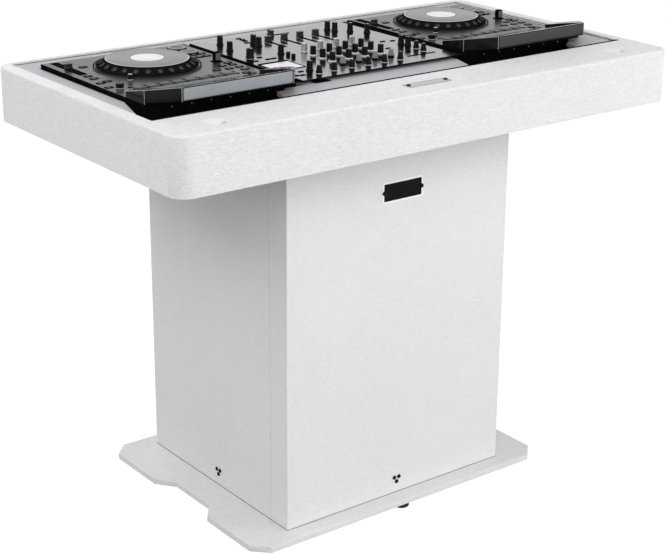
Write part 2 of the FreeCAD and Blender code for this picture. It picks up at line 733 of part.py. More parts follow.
def machine_rails(middle, width, edge, depth, body):
    """Two rails across the tray floor under one machine."""
    half = width / 2 - RAIL_END_INSET
    half_d = RAIL_DEPTH / 2
    top = PLATE_TOP - body
    rails = []
    for y in (edge - RAIL_INSET, edge - depth + RAIL_INSET):
        rails.append(block(middle - half, middle + half, y - half_d, y + half_d, TRAY_FLOOR_TOP, top))
    return rails


def gear_risers():
    rails = machine_rails(0, MIXER_WIDTH, MIXER_EDGE, MIXER_DEPTH, MIXER_BODY)
    for side in (-1, 1):
        rails += machine_rails(side * PLAYER_X, PLAYER_WIDTH, DJ_EDGE, PLAYER_DEPTH, PLAYER_BODY)
    return Part.makeCompound(rails)


def knob(x, y, diameter, height, narrowing):
    """Skirted knob that stands on the top plate and narrows upward."""
    z0 = PLATE_TOP
    skirt = disc(x, y, z0, z0 + KNOB_SKIRT, diameter)
    low = diameter * (1 + narrowing) / 2
    grip = taper(x, y, z0 + KNOB_SKIRT, z0 + height, low, diameter * narrowing)
    return skirt.fuse(grip).removeSplitter()


def tall_knob(x, y):
    return knob(x, y, TALL_KNOB_DIAMETER, TALL_KNOB_HEIGHT, TALL_KNOB_TAPER)


def cone_knob(x, y):
    return knob(x, y, CONE_KNOB_DIAMETER, CONE_KNOB_HEIGHT, CONE_KNOB_TAPER)


def small_knob(x, y):
    return knob(x, y, SMALL_KNOB_DIAMETER, SMALL_KNOB_HEIGHT, TALL_KNOB_TAPER)


def turning_knob(x, y, diameter, height):
    """Knob on a shaft that runs in the top plate."""
    cap = knob(x, y, diameter, height, TALL_KNOB_TAPER)
    cap.translate(Vector(0, 0, CONTROL_GAP))
    shaft = disc(x, y, PLATE_BOTTOM - SHAFT_BELOW, PLATE_TOP + CONTROL_GAP + KNOB_SKIRT, SHAFT_DIAMETER)
    return cap.fuse(shaft).removeSplitter()


def shaft_hole(x, y):
    return disc(x, y, PLATE_BOTTOM, PLATE_TOP, SHAFT_DIAMETER + 2 * SHAFT_FIT)


def fader(x, y, along_x):
    """Fader cap with a pinched waist, on a stem through its slot."""
    z0 = PLATE_TOP + CONTROL_GAP
    half_w = FADER_CAP_WIDTH / 2
    half_d = FADER_CAP_DEPTH / 2
    waist = half_d - FADER_CAP_WAIST
    z1 = z0 + FADER_CAP_HEIGHT
    outline = [
        (y - half_d, z0),
        (y + half_d, z0),
        (y + waist, (z0 + z1) / 2),
        (y + half_d, z1),
        (y - half_d, z1),
        (y - waist, (z0 + z1) / 2),
    ]
    cap = side_profile(outline, x - half_w, x + half_w)
    half_s = FADER_STEM / 2
    stem = block(x - half_s, x + half_s, y - half_s, y + half_s, PLATE_BOTTOM - FADER_STEM_BELOW, z0)
    whole = cap.fuse(stem).removeSplitter()
    if along_x:
        whole.rotate(Vector(x, y, 0), Vector(0, 0, 1), 90)
    return whole


def fader_slot(x0, x1, y0, y1):
    """Slot for a stem that runs between two places."""
    reach = FADER_STEM / 2 + FADER_SLOT_FIT
    return block(x0 - reach, x1 + reach, y0 - reach, y1 + reach, PLATE_BOTTOM, PLATE_TOP)


# Player

def jog_spot(middle):
    return middle, DJ_EDGE - JOG_FROM_EDGE


def tempo_spot(middle):
    return middle + TEMPO_X, DJ_EDGE - TEMPO_FROM_EDGE


def push_spot(middle, from_edge):
    return middle + PLAY_X, DJ_EDGE - from_edge


def key_spots(middle):
    first = middle + KEY_ROW_X - KEY_PITCH * (KEY_COUNT - 1) / 2
    return [(first + KEY_PITCH * i, DJ_EDGE - KEY_FROM_EDGE) for i in range(KEY_COUNT)]


def lever_spot(middle):
    return middle + LEVER_X, DJ_EDGE - LEVER_FROM_EDGE


def vinyl_knob_spot(middle):
    return middle + VINYL_KNOB_X, DJ_EDGE - VINYL_KNOB_FROM_EDGE


def selector_spot(middle):
    return middle + SELECTOR_X, DJ_EDGE - SELECTOR_FROM_EDGE


JOG_BOTTOM = PLATE_TOP + JOG_SEAT
JOG_TOP = PLATE_TOP + JOG_HEIGHT
SPINDLE_TOP = JOG_TOP - JOG_DISPLAY_THICK


def player_chassis(middle):
    """Case with the jog's spindle standing on its floor."""
    case = machine_case(middle, PLAYER_WIDTH, DJ_EDGE, PLAYER_DEPTH, PLAYER_BODY)
    x, y = jog_spot(middle)
    floor = PLATE_TOP - PLAYER_BODY + CASE_WALL
    shoulder = disc(x, y, floor, JOG_BOTTOM, SHOULDER_DIAMETER)
    spindle = disc(x, y, JOG_BOTTOM, SPINDLE_TOP, SPINDLE_DIAMETER)
    return case.fuse([shoulder, spindle]).removeSplitter()


def player_top_panel(middle):
    plate = machine_plate(middle, PLAYER_WIDTH, DJ_EDGE, PLAYER_DEPTH)
    x, y = jog_spot(middle)
    ring_in = JOG_DIAMETER + 2 * JOG_RING_GAP
    ring = disc(x, y, PLATE_TOP, PLATE_TOP + JOG_RING_HEIGHT, ring_in + 2 * JOG_RING_WIDTH)
    ring = ring.cut(disc(x, y, PLATE_TOP, PLATE_TOP + JOG_RING_HEIGHT, ring_in))
    plate = plate.fuse(ring).removeSplitter()
    tools = [disc(x, y, PLATE_BOTTOM, PLATE_TOP, SHOULDER_DIAMETER + 2 * SHOULDER_FIT)]
    x, y = tempo_spot(middle)
    tools.append(fader_slot(x, x, y - TEMPO_TRAVEL / 2, y + TEMPO_TRAVEL / 2))
    for from_edge in (PLAY_FROM_EDGE, CUE_FROM_EDGE):
        x, y = push_spot(middle, from_edge)
        tools.append(disc(x, y, PLATE_BOTTOM, PLATE_TOP, PUSH_DIAMETER + 2 * BUTTON_FIT))
    half_w = KEY_WIDTH / 2 + BUTTON_FIT
    half_d = KEY_DEPTH / 2 + BUTTON_FIT
    for x, y in key_spots(middle):
        tools.append(block(x - half_w, x + half_w, y - half_d, y + half_d, PLATE_BOTTOM, PLATE_TOP))
    x, y = lever_spot(middle)
    half_w = LEVER_WIDTH / 2 + BUTTON_FIT
    half_d = LEVER_DEPTH / 2 + LEVER_SWING
    tools.append(block(x - half_w, x + half_w, y - half_d, y + half_d, PLATE_BOTTOM, PLATE_TOP))
    tools.append(shaft_hole(*vinyl_knob_spot(middle)))
    tools.append(shaft_hole(*selector_spot(middle)))
    return cut_all(plate, tools)


def jog_wheel(middle):
    """Wheel with a finger-dimpled cone side, running on the spindle."""
    x, y = jog_spot(middle)
    lip = disc(x, y, JOG_BOTTOM, JOG_BOTTOM + JOG_LIP, JOG_DIAMETER)
    cone = taper(x, y, JOG_BOTTOM + JOG_LIP, JOG_TOP, JOG_DIAMETER, JOG_TOP_DIAMETER)
    wheel = lip.fuse(cone).removeSplitter()
    mid_z = (JOG_BOTTOM + JOG_LIP + JOG_TOP) / 2
    mid_radius = (JOG_DIAMETER + JOG_TOP_DIAMETER) / 4
    lean = math.atan2(JOG_DIAMETER / 2 - JOG_TOP_DIAMETER / 2, JOG_TOP - JOG_BOTTOM - JOG_LIP)
    reach = JOG_DIMPLE_RADIUS - JOG_DIMPLE_SINK
    ring = mid_radius + reach * math.cos(lean)
    ball_z = mid_z + reach * math.sin(lean)
    tools = []
    for i in range(JOG_DIMPLES):
        turn = 2 * math.pi * i / JOG_DIMPLES
        centre = Vector(x + ring * math.cos(turn), y + ring * math.sin(turn), ball_z)
        tools.append(Part.makeSphere(JOG_DIMPLE_RADIUS, centre))
    tools.append(disc(x, y, JOG_BOTTOM, JOG_TOP, SPINDLE_DIAMETER + 2 * SPINDLE_FIT))
    recess_z = SPINDLE_TOP - JOG_DISPLAY_FIT
    tools.append(disc(x, y, recess_z, JOG_TOP, JOG_DISPLAY_DIAMETER + 2 * JOG_DISPLAY_FIT))
    return cut_all(wheel, tools)


def jog_display(middle):
    x, y = jog_spot(middle)
    return disc(x, y, SPINDLE_TOP, JOG_TOP, JOG_DISPLAY_DIAMETER)


def push_button(middle, from_edge):
    x, y = push_spot(middle, from_edge)
    top = PLATE_TOP + PUSH_PROUD
    button = disc(x, y, PLATE_TOP - PUSH_SUNK, top, PUSH_DIAMETER)
    return button.makeFillet(PUSH_ROUND, [edge_at(button, Vector(x, y, top))])


def hot_cue_keys(middle):
    keys = []
    half_w = KEY_WIDTH / 2
    half_d = KEY_DEPTH / 2
    z0 = PLATE_TOP - KEY_SUNK
    z1 = PLATE_TOP + KEY_PROUD
    for x, y in key_spots(middle):
        keys.append(block(x - half_w, x + half_w, y - half_d, y + half_d, z0, z1))
    return Part.makeCompound(keys)


def direction_lever(middle):
    x, y = lever_spot(middle)
    half_w = LEVER_WIDTH / 2
    half_d = LEVER_DEPTH / 2
    z0 = PLATE_TOP - LEVER_BELOW
    z1 = PLATE_TOP + LEVER_HEIGHT
    return block(x - half_w, x + half_w, y - half_d, y + half_d, z0, z1)


SCREEN_REAR = PLAYER_REAR - SCREEN_OVERHANG
SCREEN_FRONT = DJ_EDGE - SCREEN_START
POCKET_REAR = SCREEN_REAR + SCREEN_LIP


def screen_pocket(middle, lift_low, lift_high, width):
    """Slanting slab over the screen's seat, between two heights above it."""
    low = PLATE_TOP + SCREEN_POCKET_LOW
    high = PLATE_TOP + SCREEN_POCKET_HIGH
    outline = [
        (SCREEN_FRONT, low + lift_low),
        (POCKET_REAR, high + lift_low),
        (POCKET_REAR, high + lift_high),
        (SCREEN_FRONT, low + lift_high),
    ]
    return side_profile(outline, middle - width / 2, middle + width / 2)


def screen_housing(middle):
    """Hooded wedge: its back corners are faceted and its rear overhangs the sockets."""
    half = PLAYER_WIDTH / 2
    crest_y = DJ_EDGE - SCREEN_CREST_FROM_EDGE
    back_half = SCREEN_BACK_WIDTH / 2
    right = [
        (half, SCREEN_FRONT),
        (half, crest_y),
        (half - SCREEN_SHOULDER_X, crest_y - SCREEN_SHOULDER_Y),
        (back_half, SCREEN_REAR),
    ]
    plan = [(middle + x, y) for x, y in right] + [(middle - x, y) for x, y in reversed(right)]
    profile = [
        (SCREEN_FRONT, PLATE_TOP),
        (SCREEN_FRONT, PLATE_TOP + SCREEN_STEP),
        (crest_y, PLATE_TOP + SCREEN_CREST),
        (SCREEN_REAR, PLATE_TOP + SCREEN_TOP),
        (SCREEN_REAR, PLATE_TOP + SCREEN_BACK_FOOT),
        (PLAYER_REAR, PLATE_TOP + SCREEN_SKIRT),
        (PLAYER_REAR, PLATE_TOP),
    ]
    wedge = prism(plan, PLATE_TOP, PLATE_TOP + SCREEN_TOP)
    wedge = wedge.common(side_profile(profile, middle - half, middle + half))
    wedge = wedge.cut(screen_pocket(middle, 0, SCREEN_TOP, SCREEN_POCKET_WIDTH))
    return wedge.cut(screen_cavity(middle))


def screen_cavity(middle):
    """Hollow under the screen's seat, open where the housing stands on the top plate."""
    front = SCREEN_FRONT - SCREEN_CAVITY_START
    rear = PLAYER_REAR + SCREEN_WALL
    slope = (SCREEN_POCKET_HIGH - SCREEN_POCKET_LOW) / (SCREEN_FRONT - POCKET_REAR)
    roof = PLATE_TOP + SCREEN_POCKET_LOW - SCREEN_WALL
    outline = [
        (front, PLATE_TOP),
        (front, roof + slope * (SCREEN_FRONT - front)),
        (rear, roof + slope * (SCREEN_FRONT - rear)),
        (rear, PLATE_TOP),
    ]
    half = SCREEN_POCKET_WIDTH / 2
    return side_profile(outline, middle - half, middle + half)


def screen_glass(middle):
    return screen_pocket(middle, 0, SCREEN_GLASS, SCREEN_POCKET_WIDTH - 2 * SCREEN_GLASS_FIT)


# Mixer

def mixer_y(row):
    """Place of a row of controls, which keeps its share of the mixer's depth."""
    return MIXER_EDGE - row * MIXER_ROW_SCALE


def channel_x(number):
    return CHANNEL_MIDDLE + CHANNEL_PITCH * (number - (CHANNELS + 1) / 2)


def channel_fader_spot(number):
    return channel_x(number), mixer_y(FADER_ROW)


def crossfader_spot():
    return CHANNEL_MIDDLE - CROSSFADER_TRAVEL / 2, mixer_y(CROSSFADER_ROW)


def effect_knob_spot():
    return EFFECT_KNOB_X, mixer_y(EFFECT_KNOB_ROW)


def mixer_display_box(margin, z0, z1):
    half_w = MIXER_DISPLAY_WIDTH / 2 + margin
    half_d = MIXER_DISPLAY_DEPTH / 2 + margin
    y = mixer_y(MIXER_DISPLAY_ROW)
    return block(MIXER_DISPLAY_X - half_w, MIXER_DISPLAY_X + half_w, y - half_d, y + half_d, z0, z1)


DISPLAY_SEAT = PLATE_TOP + MIXER_DISPLAY_PROUD - MIXER_DISPLAY_THICK


def mixer_top_panel():
    plate = machine_plate(0, MIXER_WIDTH, MIXER_EDGE, MIXER_DEPTH)
    tools = [mixer_display_box(0, DISPLAY_SEAT, PLATE_TOP)]
    for number in range(1, CHANNELS + 1):
        x, y = channel_fader_spot(number)
        tools.append(fader_slot(x, x, y - FADER_TRAVEL, y))
    x, y = crossfader_spot()
    tools.append(fader_slot(x, x + CROSSFADER_TRAVEL, y, y))
    tools.append(shaft_hole(*effect_knob_spot()))
    return cut_all(plate, tools)


def mixer_channel_knobs():
    """Per channel, from the DJ outward: colour, three tone knobs, trim and source."""
    tall_rows = [COLOUR_ROW] + [EQ_ROW + EQ_PITCH * i for i in range(EQ_ROWS)]
    knobs = []
    for number in range(1, CHANNELS + 1):
        x = channel_x(number)
        knobs += [tall_knob(x, mixer_y(row)) for row in tall_rows]
        knobs += [cone_knob(x, mixer_y(row)) for row in (TRIM_ROW, SOURCE_ROW)]
    return Part.makeCompound(knobs)


def mixer_side_knobs():
    knobs = [tall_knob(x, mixer_y(row)) for x, row in EFFECT_SIDE_KNOBS + MONITOR_SIDE_KNOBS]
    knobs += [cone_knob(x, mixer_y(row)) for x, row in EFFECT_CONE_KNOBS + MONITOR_CONE_KNOBS]
    knobs += [small_knob(x, mixer_y(row)) for x, row in EFFECT_SMALL_KNOBS]
    return Part.makeCompound(knobs)


# Every node, by name

nodes = {
    "base_plate": base_plate(),
    "base_feet": base_feet(),
    "column_left_panel": column_side_panel(-1),
    "column_right_panel": column_side_panel(1),
    "column_rear_panel": column_rear_panel(),
    "column_posts": column_posts(),
    "column_top_plate": column_top_plate(),
    "base_brackets": base_brackets(),
    "panel_screws": panel_screws(),
    "column_front_cover": column_front_cover(),
    "cover_pegs": cover_pegs(),
    "cover_screws": cover_screws(),
    "front_badge": front_badge(),
    "tray_shell": tray_shell(),
    "tray_floor": tray_floor(),
    "tray_bolts": tray_bolts(),
    "rim_caps": rim_caps(),
    "rim_badge": rim_badge(),
    "rim_screws": rim_screws(),
    "fascia_frame": fascia_frame(),
    "fascia_tongue": fascia_tongue(),
    "fascia_battens": fascia_battens(),
    "gear_risers": gear_risers(),
    "mixer_chassis": machine_case(0, MIXER_WIDTH, MIXER_EDGE, MIXER_DEPTH - MIXER_LEDGE, MIXER_BODY),
    "mixer_top_panel": mixer_top_panel(),
    "mixer_display": mixer_display_box(0, DISPLAY_SEAT, PLATE_TOP + MIXER_DISPLAY_PROUD),
    "mixer_channel_knobs": mixer_channel_knobs(),
    "mixer_side_knobs": mixer_side_knobs(),
    "mixer_effect_knob": turning_knob(*effect_knob_spot(), EFFECT_KNOB_DIAMETER, TALL_KNOB_HEIGHT),
    "mixer_crossfader": fader(*crossfader_spot(), True),
}
for number in range(1, CHANNELS + 1):
    nodes[f"mixer_channel_fader_{number}"] = fader(*channel_fader_spot(number), False)

for name, middle in (("left_player", -PLAYER_X), ("right_player", PLAYER_X)):
    nodes[f"{name}_chassis"] = player_chassis(middle)
    nodes[f"{name}_top_panel"] = player_top_panel(middle)
    nodes[f"{name}_jog_wheel"] = jog_wheel(middle)
    nodes[f"{name}_jog_display"] = jog_display(middle)
    nodes[f"{name}_screen_housing"] = screen_housing(middle)
    nodes[f"{name}_screen_glass"] = screen_glass(middle)
    nodes[f"{name}_tempo_fader"] = fader(*tempo_spot(middle), False)
    nodes[f"{name}_play_button"] = push_button(middle, PLAY_FROM_EDGE)
    nodes[f"{name}_cue_button"] = push_button(middle, CUE_FROM_EDGE)
    nodes[f"{name}_hot_cue_keys"] = hot_cue_keys(middle)
    nodes[f"{name}_direction_lever"] = direction_lever(middle)
    x, y = vinyl_knob_spot(middle)
    nodes[f"{name}_vinyl_speed_knob"] = turning_knob(x, y, VINYL_KNOB_DIAMETER, VINYL_KNOB_HEIGHT)
    x, y = selector_spot(middle)
    nodes[f"{name}_selector_knob"] = turning_knob(x, y, SELECTOR_DIAMETER, SELECTOR_HEIGHT)

os.makedirs("parts", exist_ok=True)
for name, shape in nodes.items():
    shape.exportStep(f"parts/{name}.step")
print(len(nodes), "nodes")
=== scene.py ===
import collections
import math
import bpy
import numpy as np
from mathutils import Matrix, Vector


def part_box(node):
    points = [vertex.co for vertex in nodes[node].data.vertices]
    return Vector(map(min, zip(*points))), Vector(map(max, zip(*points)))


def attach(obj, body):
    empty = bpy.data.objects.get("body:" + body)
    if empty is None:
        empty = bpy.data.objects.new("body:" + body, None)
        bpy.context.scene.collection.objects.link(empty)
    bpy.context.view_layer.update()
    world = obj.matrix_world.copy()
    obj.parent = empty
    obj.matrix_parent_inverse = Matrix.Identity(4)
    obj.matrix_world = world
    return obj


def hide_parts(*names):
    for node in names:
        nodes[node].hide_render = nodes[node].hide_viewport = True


# DJ booth: a white column and tray that carry a mixer between two media players. Forms are
# worked out in millimetres in the CAD frame: +Z up, -Y to the audience, +Y to the DJ.

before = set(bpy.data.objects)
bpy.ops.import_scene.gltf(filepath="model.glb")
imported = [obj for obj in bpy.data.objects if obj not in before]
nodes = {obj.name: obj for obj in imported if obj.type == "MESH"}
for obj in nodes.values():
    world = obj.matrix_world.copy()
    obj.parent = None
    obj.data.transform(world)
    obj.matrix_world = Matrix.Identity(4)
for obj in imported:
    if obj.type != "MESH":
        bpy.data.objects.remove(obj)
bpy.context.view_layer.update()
scene = bpy.context.scene
MM = 0.001

# Base plate: a thick board with cut corners, sprayed with a white structure coat that dries
# in short wavy strokes. Column, cover and tray have the same coat.

COLOUR = "NodeSocketColor"
NUMBER = "NodeSocketFloat"
PLACE = "NodeSocketVector"
VECTOR_MATH = "ShaderNodeVectorMath"
MID_GREY = (0.5, 0.5, 0.5, 1)
NEUTRAL = (1, 1, 1)


def add(tree, kind, inputs=None, **settings):
    """New node with its settings, and its inputs by name: a socket links, a value is set."""
    node = tree.nodes.new(kind)
    for key, value in settings.items():
        setattr(node, key, value)
    for key, value in (inputs or {}).items():
        if isinstance(value, bpy.types.NodeSocket):
            tree.links.new(value, node.inputs[key])
        else:
            node.inputs[key].default_value = value
    return node


def new_group(name, inputs):
    """Node group with a light and a dark colour, a gloss range and the inputs given; returns it
    with its inputs' sockets and the place on the object."""
    group = bpy.data.node_groups.new(name, "ShaderNodeTree")
    shared = [("Light", COLOUR, MID_GREY), ("Dark", COLOUR, MID_GREY), ("Gloss", NUMBER, 0.4),
              ("Matt", NUMBER, 0.6)]
    for label, kind, value in shared + inputs:
        socket = group.interface.new_socket(label, in_out="INPUT", socket_type=kind)
        socket.default_value = value
    for label, kind in (("Color", COLOUR), ("Roughness", NUMBER), ("Normal", PLACE)):
        group.interface.new_socket(label, in_out="OUTPUT", socket_type=kind)
    place = add(group, "ShaderNodeTexCoord").outputs["Object"]
    return group, group.nodes.new("NodeGroupInput").outputs, place


def noise(tree, place, scale, detail, **more):
    """Fractal noise from 0 to 1 at a place; more sets its other sockets."""
    sockets = {"Vector": place, "Scale": scale, "Detail": detail, **more}
    return add(tree, "ShaderNodeTexNoise", sockets).outputs["Fac"]


def worked(tree, operation, *values, kind="ShaderNodeMath"):
    """Outcome of one sum on values or sockets, taken in their order."""
    return add(tree, kind, dict(enumerate(values)), operation=operation).outputs[0]


def ranged(tree, share, low, high):
    """A share from 0 to 1 carried over to low to high, clamped."""
    sockets = {"Value": share, "To Min": low, "To Max": high}
    return add(tree, "ShaderNodeMapRange", sockets).outputs["Result"]


# A mix node has several sockets of the same name, so its colours go by number.
MIX_FIRST = 6
MIX_SECOND = 7
MIX_RESULT = 2


def close_group(group, given, tone_share, gloss_share, height, distance):
    """Ends a group: dark to light by one share, gloss to matt by another, bump by a height."""
    colours = {"Factor": tone_share, MIX_FIRST: given["Dark"], MIX_SECOND: given["Light"]}
    blend = add(group, "ShaderNodeMix", colours, data_type="RGBA")
    bump = add(group, "ShaderNodeBump", {"Height": height, "Strength": 1.0, "Distance": distance})
    result = group.nodes.new("NodeGroupOutput").inputs
    group.links.new(blend.outputs[MIX_RESULT], result["Color"])
    group.links.new(ranged(group, gloss_share, given["Gloss"], given["Matt"]), result["Roughness"])
    group.links.new(bump.outputs["Normal"], result["Normal"])
    return group


STROKE_STRETCH = (1.0, 1.0, 3.0)
GRIT_SCALE = 700.0
GRIT_SHARE = 0.2
DRIFT_SCALE = 4.0


def coat_group():
    """Sprayed coat: level wavy strokes of warped noise over fine grit, with slow patches of tone."""
    sockets = [("Stroke scale", NUMBER, 110.0), ("Stroke height", NUMBER, 0.001),
               ("Stroke tone", NUMBER, 2.0)]
    group, given, place = new_group("coat", sockets)
    level = worked(group, "MULTIPLY", place, STROKE_STRETCH, kind=VECTOR_MATH)
    stroke = noise(group, level, given["Stroke scale"], 3.0, Roughness=0.6, Distortion=1.4)
    grit = noise(group, place, GRIT_SCALE, 1.0)
    drift = noise(group, place, DRIFT_SCALE, 3.0)
    height = worked(group, "MULTIPLY_ADD", grit, GRIT_SHARE, stroke)
    swing = worked(group, "SUBTRACT", stroke, 0.5)
    spread_tone = worked(group, "MULTIPLY_ADD", swing, given["Stroke tone"], 0.5)
    shade = worked(group, "MULTIPLY_ADD", drift, 0.5, spread_tone)
    return close_group(group, given, shade, drift, height, given["Stroke height"])


def finish(name, group, light, dark, tint=NEUTRAL, shine=0.5, metal=0.0, glow=0.0, **values):
    """Material from a group: two tones times a tint and the values go to the group's sockets;
    shine, metal and glow are set on the shader."""
    material = bpy.data.materials.new(name)
    material.use_nodes = True
    tree = material.node_tree
    shader = tree.nodes["Principled BSDF"].inputs
    texture = add(tree, "ShaderNodeGroup", node_tree=group)
    values.update(Light=(*np.multiply(light, tint), 1), Dark=(*np.multiply(dark, tint), 1))
    for key, value in values.items():
        texture.inputs[key.replace("_", " ")].default_value = value
    for source, target in (("Color", "Base Color"), ("Roughness", "Roughness"), ("Normal", "Normal")):
        tree.links.new(texture.outputs[source], shader[target])
    shader["Specular IOR Level"].default_value = shine
    shader["Metallic"].default_value = metal
    if glow:
        tree.links.new(texture.outputs["Color"], shader["Emission Color"])
        shader["Emission Strength"].default_value = glow
    return material


def dress(material, *names):
    """Gives CAD nodes a material in place of their plain one."""
    for name in names:
        slots = nodes[name].data.materials
        for number in range(len(slots)):
            slots[number] = material


WELD_REACH = 0.01
EASE_STEPS = 3
EASE_ANGLE = math.radians(40)


def eased(name, width):
    """Rounds the sharp edges of a CAD node with modifiers."""
    weld = nodes[name].modifiers.new("weld", "WELD")
    weld.merge_threshold = WELD_REACH * MM
    bevel = nodes[name].modifiers.new("ease", "BEVEL")
    bevel.width = width * MM
    bevel.segments = EASE_STEPS
    bevel.limit_method = "ANGLE"
    bevel.angle_limit = EASE_ANGLE
    bevel.harden_normals = True


COAT = coat_group()
white_coat = finish("white_coat", COAT, 0.86, 0.74, shine=0.4, Gloss=0.42, Matt=0.6)
dress(white_coat, "base_plate")
eased("base_plate", 2.0)

# Feet: six round rubber feet screwed under the base plate. Each is moulded with an eased
# rim, a flat tread and a sunk hole for its screw.

Form = collections.namedtuple("Form", "points faces tints")


def box(name):
    """Lowest and highest corner of a CAD node, in millimetres."""
    return [np.array(corner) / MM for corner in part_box(name)]


def skin(rings, tints=0, low=True, high=True, closed=False):
    """Grid of points, one row a loop: each row joins the next, and the last the first if closed.

    tints gives the material number of each band; low and high cap the first and last loop."""
    rings = np.asarray(rings, dtype=float)
    count, around = rings.shape[:2]
    row = np.arange(count if closed else count - 1)[:, None]
    here = np.arange(around)[None, :]
    after = (here + 1) % around
    this = row * around
    above = (row + 1) % count * around
    faces = np.stack([this + here, this + after, above + after, above + here], axis=-1)
    faces = faces.reshape(-1, 4).tolist()
    bands = np.broadcast_to(tints, len(row))
    marks = np.repeat(bands, around).tolist()
    if low and not closed:
        faces.append(list(range(around - 1, -1, -1)))
        marks.append(int(bands[0]))
    if high and not closed:
        faces.append(list(range((count - 1) * around, count * around)))
        marks.append(int(bands[-1]))
    return Form(rings.reshape(-1, 3), faces, marks)


def lathe(profile, around=36, tints=0, flutes=0, depth=0.0, low=True, high=True, closed=False):
    """Profile of (radius, height) pairs turned about Z; flutes press the radius in by a share."""
    radius, height = np.array(profile, dtype=float).T
    angle = np.linspace(0, 2 * np.pi, around, endpoint=False)
    press = np.broadcast_to(depth, len(radius))[:, None] * (0.5 + 0.5 * np.cos(flutes * angle))
    reach = radius[:, None] * (1 - press)
    level = np.broadcast_to(height[:, None], reach.shape)
    rings = np.stack([reach * np.cos(angle), reach * np.sin(angle), level], axis=2)
    return skin(rings, tints, low, high, closed)


def moved(form, x=0, y=0, z=0):
    """The form shifted by x, y and z."""
    return form._replace(points=form.points + np.array([x, y, z]))


def tinted(form, tint):
    """The form with one material number on all its faces."""
    return form._replace(tints=[tint] * len(form.faces))


def joined(*forms):
    """One form out of several."""
    points = np.concatenate([form.points for form in forms])
    starts = np.cumsum([0] + [len(form.points) for form in forms[:-1]])
    faces = []
    tints = []
    for start, form in zip(starts.tolist(), forms):
        faces += [[start + corner for corner in face] for face in form.faces]
        tints += form.tints
    return Form(points, faces, tints)


def spread(form, places):
    """A copy of the form at each place."""
    return joined(*[moved(form, *place) for place in places])


CREASE = math.radians(35)


def piece(name, form, materials, body="booth", stands_for=()):
    """Makes the form an object that rides on a body and stands for CAD nodes."""
    mesh = bpy.data.meshes.new(name)
    mesh.from_pydata((form.points * MM).tolist(), [], form.faces)
    for material in materials:
        mesh.materials.append(material)
    mesh.polygons.foreach_set("material_index", form.tints)
    mesh.shade_smooth()
    mesh.set_sharp_from_angle(angle=CREASE)
    mesh.update()
    made = bpy.data.objects.new(name, mesh)
    scene.collection.objects.link(made)
    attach(made, body)
    if stands_for:
        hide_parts(*stands_for)


def grain_group():
    """Moulded or painted surface: soft patches of tone and gloss over a fine grain."""
    sockets = [("Patch scale", NUMBER, 40.0), ("Grain scale", NUMBER, 1500.0),
               ("Grain height", NUMBER, 0.00002)]
    group, given, place = new_group("grain", sockets)
    patch = noise(group, place, given["Patch scale"], 4.0, Roughness=0.6)
    grain = noise(group, place, given["Grain scale"], 2.0)
    shade = ranged(group, patch, -0.6, 1.6)
    return close_group(group, given, shade, patch, grain, given["Grain height"])


GRAIN = grain_group()
foot_rubber = finish("foot_rubber", GRAIN, 0.016, 0.008, shine=0.3, Gloss=0.65, Matt=0.9, Grain_scale=900.0,
                     Grain_height=0.00008)

FOOT = 17.0
CORNER_FOOT_IN = 41.5
foot_profile = [(4, 4), (4, 1), (5, 0), (15.6, 0), (FOOT, 1.4), (FOOT, 8.6), (16.4, 10.2), (16.4, 11)]
feet_low, feet_high = box("base_feet")
feet_x = feet_high[0] - FOOT
feet_front = feet_low[1] + FOOT
feet_back = feet_high[1] - FOOT
feet_places = [(0, feet_front), (0, feet_back)]
for side in (-1, 1):
    feet_places += [(side * feet_x, feet_front + CORNER_FOOT_IN), (side * feet_x, feet_back - CORNER_FOOT_IN)]
piece("feet", spread(lathe(foot_profile, 48), feet_places), [foot_rubber],
      stands_for=["base_feet"])

# Column frame: four aluminium posts on zinc-plated base brackets, with a black top board.
# Steel pegs on the board locate the front cover.


def brushed_group():
    """Brushed metal: lines stretched along one direction, with clouds of gloss."""
    sockets = [("Line stretch", PLACE, (20.0, 1500.0, 1500.0)), ("Line height", NUMBER, 0.000005)]
    group, given, place = new_group("brushed", sockets)
    along = worked(group, "MULTIPLY", place, given["Line stretch"], kind=VECTOR_MATH)
    line = noise(group, along, 1.0, 2.0)
    cloud = noise(group, place, 25.0, 3.0)
    shade = ranged(group, line, -0.3, 1.3)
    return close_group(group, given, shade, cloud, line, given["Line height"])


COOL = (0.97, 0.98, 1.0)
BRUSHED = brushed_group()
post_metal = finish("post_metal", BRUSHED, 0.55, 0.42, COOL, metal=0.9, Gloss=0.25, Matt=0.4,
                    Line_stretch=(1500.0, 1500.0, 20.0))
bracket_steel = finish("bracket_steel", GRAIN, 0.5, 0.36, COOL, metal=0.9, Gloss=0.3, Matt=0.5,
                       Patch_scale=150.0)
black_board = finish("black_board", GRAIN, 0.012, 0.006, shine=0.25, Gloss=0.6, Matt=0.85,
                     Grain_scale=700.0, Grain_height=0.0001)
dress(post_metal, "column_posts")
dress(bracket_steel, "base_brackets", "cover_pegs")
dress(black_board, "column_top_plate")

# Column panels: two sides and a rear board in the white coat, screwed to the brackets by
# threes of black domed hexagon-socket screws at the foot.

dress(white_coat, "column_left_panel", "column_right_panel", "column_rear_panel")

COLUMN_Y = 51.0
SCREW_HEAD = 4.5
SCREW_RISE = 2.4
CLUSTER = ((-6.0, 59.0), (6.0, 59.0), (0.0, 49.0))


def socket_screw(head=SCREW_HEAD, rise=SCREW_RISE, key=1.6):
    """Domed head on z = 0, turned from a quarter-round profile, with a six-sided socket."""
    dome = lathe([(2, -6), (2, 0), (head, 0), (head, 0.5), (head * 0.93, rise * 0.62),
                  (head * 0.74, rise * 0.9), (head * 0.55, rise), (key * 1.3, rise)], 36, high=False)
    wall = key * 1.12
    socket = lathe([(key * 1.3, rise), (wall, rise - 0.15), (wall, rise - 1.2)], 6, low=False)
    return joined(dome, socket)


